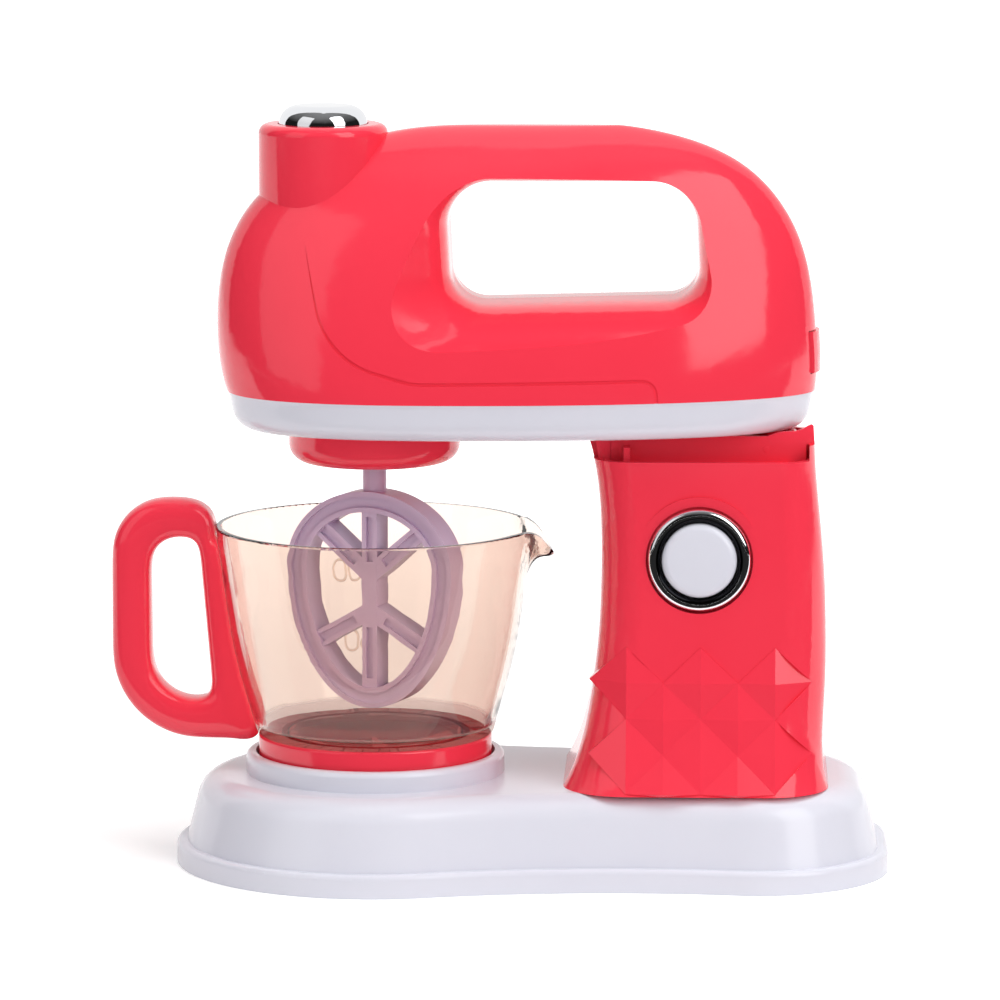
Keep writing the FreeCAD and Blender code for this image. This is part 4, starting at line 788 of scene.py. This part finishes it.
# %% How bright everything is
WORLD_GLOW, TABLE_LIFT = 0.28, 0.34
LEFT_POWER, RIGHT_POWER, TOP_POWER = 7.0, 22.5, 16.0


def looked_at(add, join):
    """One for a ray that the camera sends out, also off a mirror or through clear plastic, else nought."""
    rays = add("ShaderNodeLightPath")
    total = rays.outputs["Is Camera Ray"]
    for kind in ("Is Glossy Ray", "Is Transmission Ray"):
        either = add("ShaderNodeMath", operation="MAXIMUM")
        join(total, either.inputs[0])
        join(rays.outputs[kind], either.inputs[1])
        total = either.outputs["Value"]
    return total


# %% The table
TABLE_HALF, TABLE_DROP = 6.0, 0.05 * MM
bm = bmesh.new()
bmesh.ops.create_grid(bm, x_segments=2, y_segments=2, size=TABLE_HALF)
table_mesh = bpy.data.meshes.new("table")
bm.to_mesh(table_mesh)
bm.free()
table = placed("table", table_mesh)
table.location.z = -TABLE_DROP
paper, shader, add, join = new_material("table_paper")
shader.inputs["Base Color"].default_value = (0.93, 0.93, 0.93, 1)
shader.inputs["Roughness"].default_value = 0.6
shader.inputs["Specular IOR Level"].default_value = 0.0
shader.inputs["Emission Color"].default_value = (1, 1, 1, 1)
table_mesh.materials.append(paper)

# %% Far from the toy the table fades into the white background
FADE_START, FADE_END = 0.16, 0.9
place = add("ShaderNodeTexCoord")
reach = add("ShaderNodeVectorMath", operation="LENGTH")
join(place.outputs["Object"], reach.inputs[0])
fade = add("ShaderNodeMapRange", interpolation_type="SMOOTHSTEP")
fade.inputs["From Min"].default_value = FADE_START
fade.inputs["From Max"].default_value = FADE_END
fade.inputs["To Min"].default_value = TABLE_LIFT
fade.inputs["To Max"].default_value = 1.0
join(reach.outputs["Value"], fade.inputs["Value"])
lift = add("ShaderNodeMath", operation="MULTIPLY")
join(looked_at(add, join), lift.inputs[0])
join(fade.outputs["Result"], lift.inputs[1])
join(lift.outputs["Value"], shader.inputs["Emission Strength"])
print("table:", TABLE_HALF * 2, "m across")

# %% The world
world = bpy.data.worlds.new("white_studio")
scene.world = world
world.use_nodes = True
add, join = nodes_in(world.node_tree)
seen = world.node_tree.nodes["Background"]
seen.inputs["Color"].default_value = (1, 1, 1, 1)
seen.inputs["Strength"].default_value = 1.0
glow = add("ShaderNodeBackground")
glow.inputs["Color"].default_value = (1, 1, 1, 1)
glow.inputs["Strength"].default_value = WORLD_GLOW
blend = add("ShaderNodeMixShader")
join(looked_at(add, join), blend.inputs["Fac"])
join(glow.outputs["Background"], blend.inputs[1])
join(seen.outputs["Background"], blend.inputs[2])
join(blend.outputs["Shader"], world.node_tree.nodes["World Output"].inputs["Surface"])
print("world:", world.name, "with a glow of", WORLD_GLOW)

# %% The dark curtain, a part of a dome spun round the toy, and the dark mat on the floor
CURTAIN_REACH, CURTAIN_TOP, CURTAIN_SWEEP = 2500 * MM, math.radians(87), math.radians(226)
CURTAIN_STEPS, CURTAIN_FOOT = 12, 0.02
MAT_SIZE, MAT_PLACE = (2.4, 1.16, 1.0), (0, -1.26, 0.001)
bm = bmesh.new()
rising = []
for step in range(CURTAIN_STEPS + 1):
    height = CURTAIN_TOP * step / CURTAIN_STEPS
    level = CURTAIN_FOOT + CURTAIN_REACH * math.sin(height)
    rising.append(bm.verts.new((CURTAIN_REACH * math.cos(height), 0, level)))
seams = [bm.edges.new(pair) for pair in zip(rising, rising[1:])]
turn_back = Matrix.Rotation(-math.pi / 2 - CURTAIN_SWEEP / 2, 3, "Z")
bmesh.ops.rotate(bm, verts=rising, matrix=turn_back, cent=(0, 0, 0))
bmesh.ops.spin(bm, geom=rising + seams, cent=(0, 0, 0), axis=(0, 0, 1), angle=CURTAIN_SWEEP, steps=32)
mat = bmesh.ops.create_grid(bm, x_segments=2, y_segments=2, size=1.0)
bmesh.ops.scale(bm, verts=mat["verts"], vec=MAT_SIZE)
bmesh.ops.translate(bm, verts=mat["verts"], vec=MAT_PLACE)
curtain_mesh = bpy.data.meshes.new("dark_curtain")
bm.to_mesh(curtain_mesh)
bm.free()
curtain = placed("dark_curtain", curtain_mesh)

# %% The curtain's cloth, black below and grey high up
DARK, GREY = 0.02, 0.4
GREY_FROM, GREY_TO = 1.0, 2.5
cloth, shader, add, join = new_material("curtain_cloth")
place = add("ShaderNodeTexCoord")
parts = add("ShaderNodeSeparateXYZ")
join(place.outputs["Object"], parts.inputs["Vector"])
shades = add("ShaderNodeMapRange")
shades.inputs["From Min"].default_value = GREY_FROM
shades.inputs["From Max"].default_value = GREY_TO
shades.inputs["To Min"].default_value = DARK
shades.inputs["To Max"].default_value = GREY
join(parts.outputs["Z"], shades.inputs["Value"])
join(shades.outputs["Result"], shader.inputs["Base Color"])
shader.inputs["Roughness"].default_value = 1.0
shader.inputs["Specular IOR Level"].default_value = 0.0
curtain_mesh.materials.append(cloth)
for sight in ("visible_camera", "visible_diffuse", "visible_transmission", "visible_shadow",
              "visible_volume_scatter"):
    setattr(curtain, sight, False)
print("curtain:", len(curtain_mesh.polygons), "faces")


# %% The lamps
LAMP_AIM = Vector((0, 0, 100)) * MM


def softbox(name, place, width, height, power, mirrored=True):
    """A rectangular soft lamp that faces the toy, in millimetres. Glossy parts may mirror it."""
    lamp = bpy.data.lights.new(name, "AREA")
    lamp.shape = "RECTANGLE"
    lamp.size = width * MM
    lamp.size_y = height * MM
    lamp.energy = power
    holder = placed(name, lamp)
    holder.visible_glossy = mirrored
    holder.location = Vector(place) * MM
    holder.rotation_euler = (LAMP_AIM - holder.location).to_track_quat("-Z", "Y").to_euler()


softbox("left_box", (-1450, -1200, 1100), 1300, 2100, LEFT_POWER)
softbox("right_box", (1350, -1200, 1300), 1200, 2200, RIGHT_POWER)
softbox("top_box", (100, -150, 1800), 1300, 900, TOP_POWER, mirrored=False)
print("lamps:", LEFT_POWER, RIGHT_POWER, TOP_POWER, "watts")
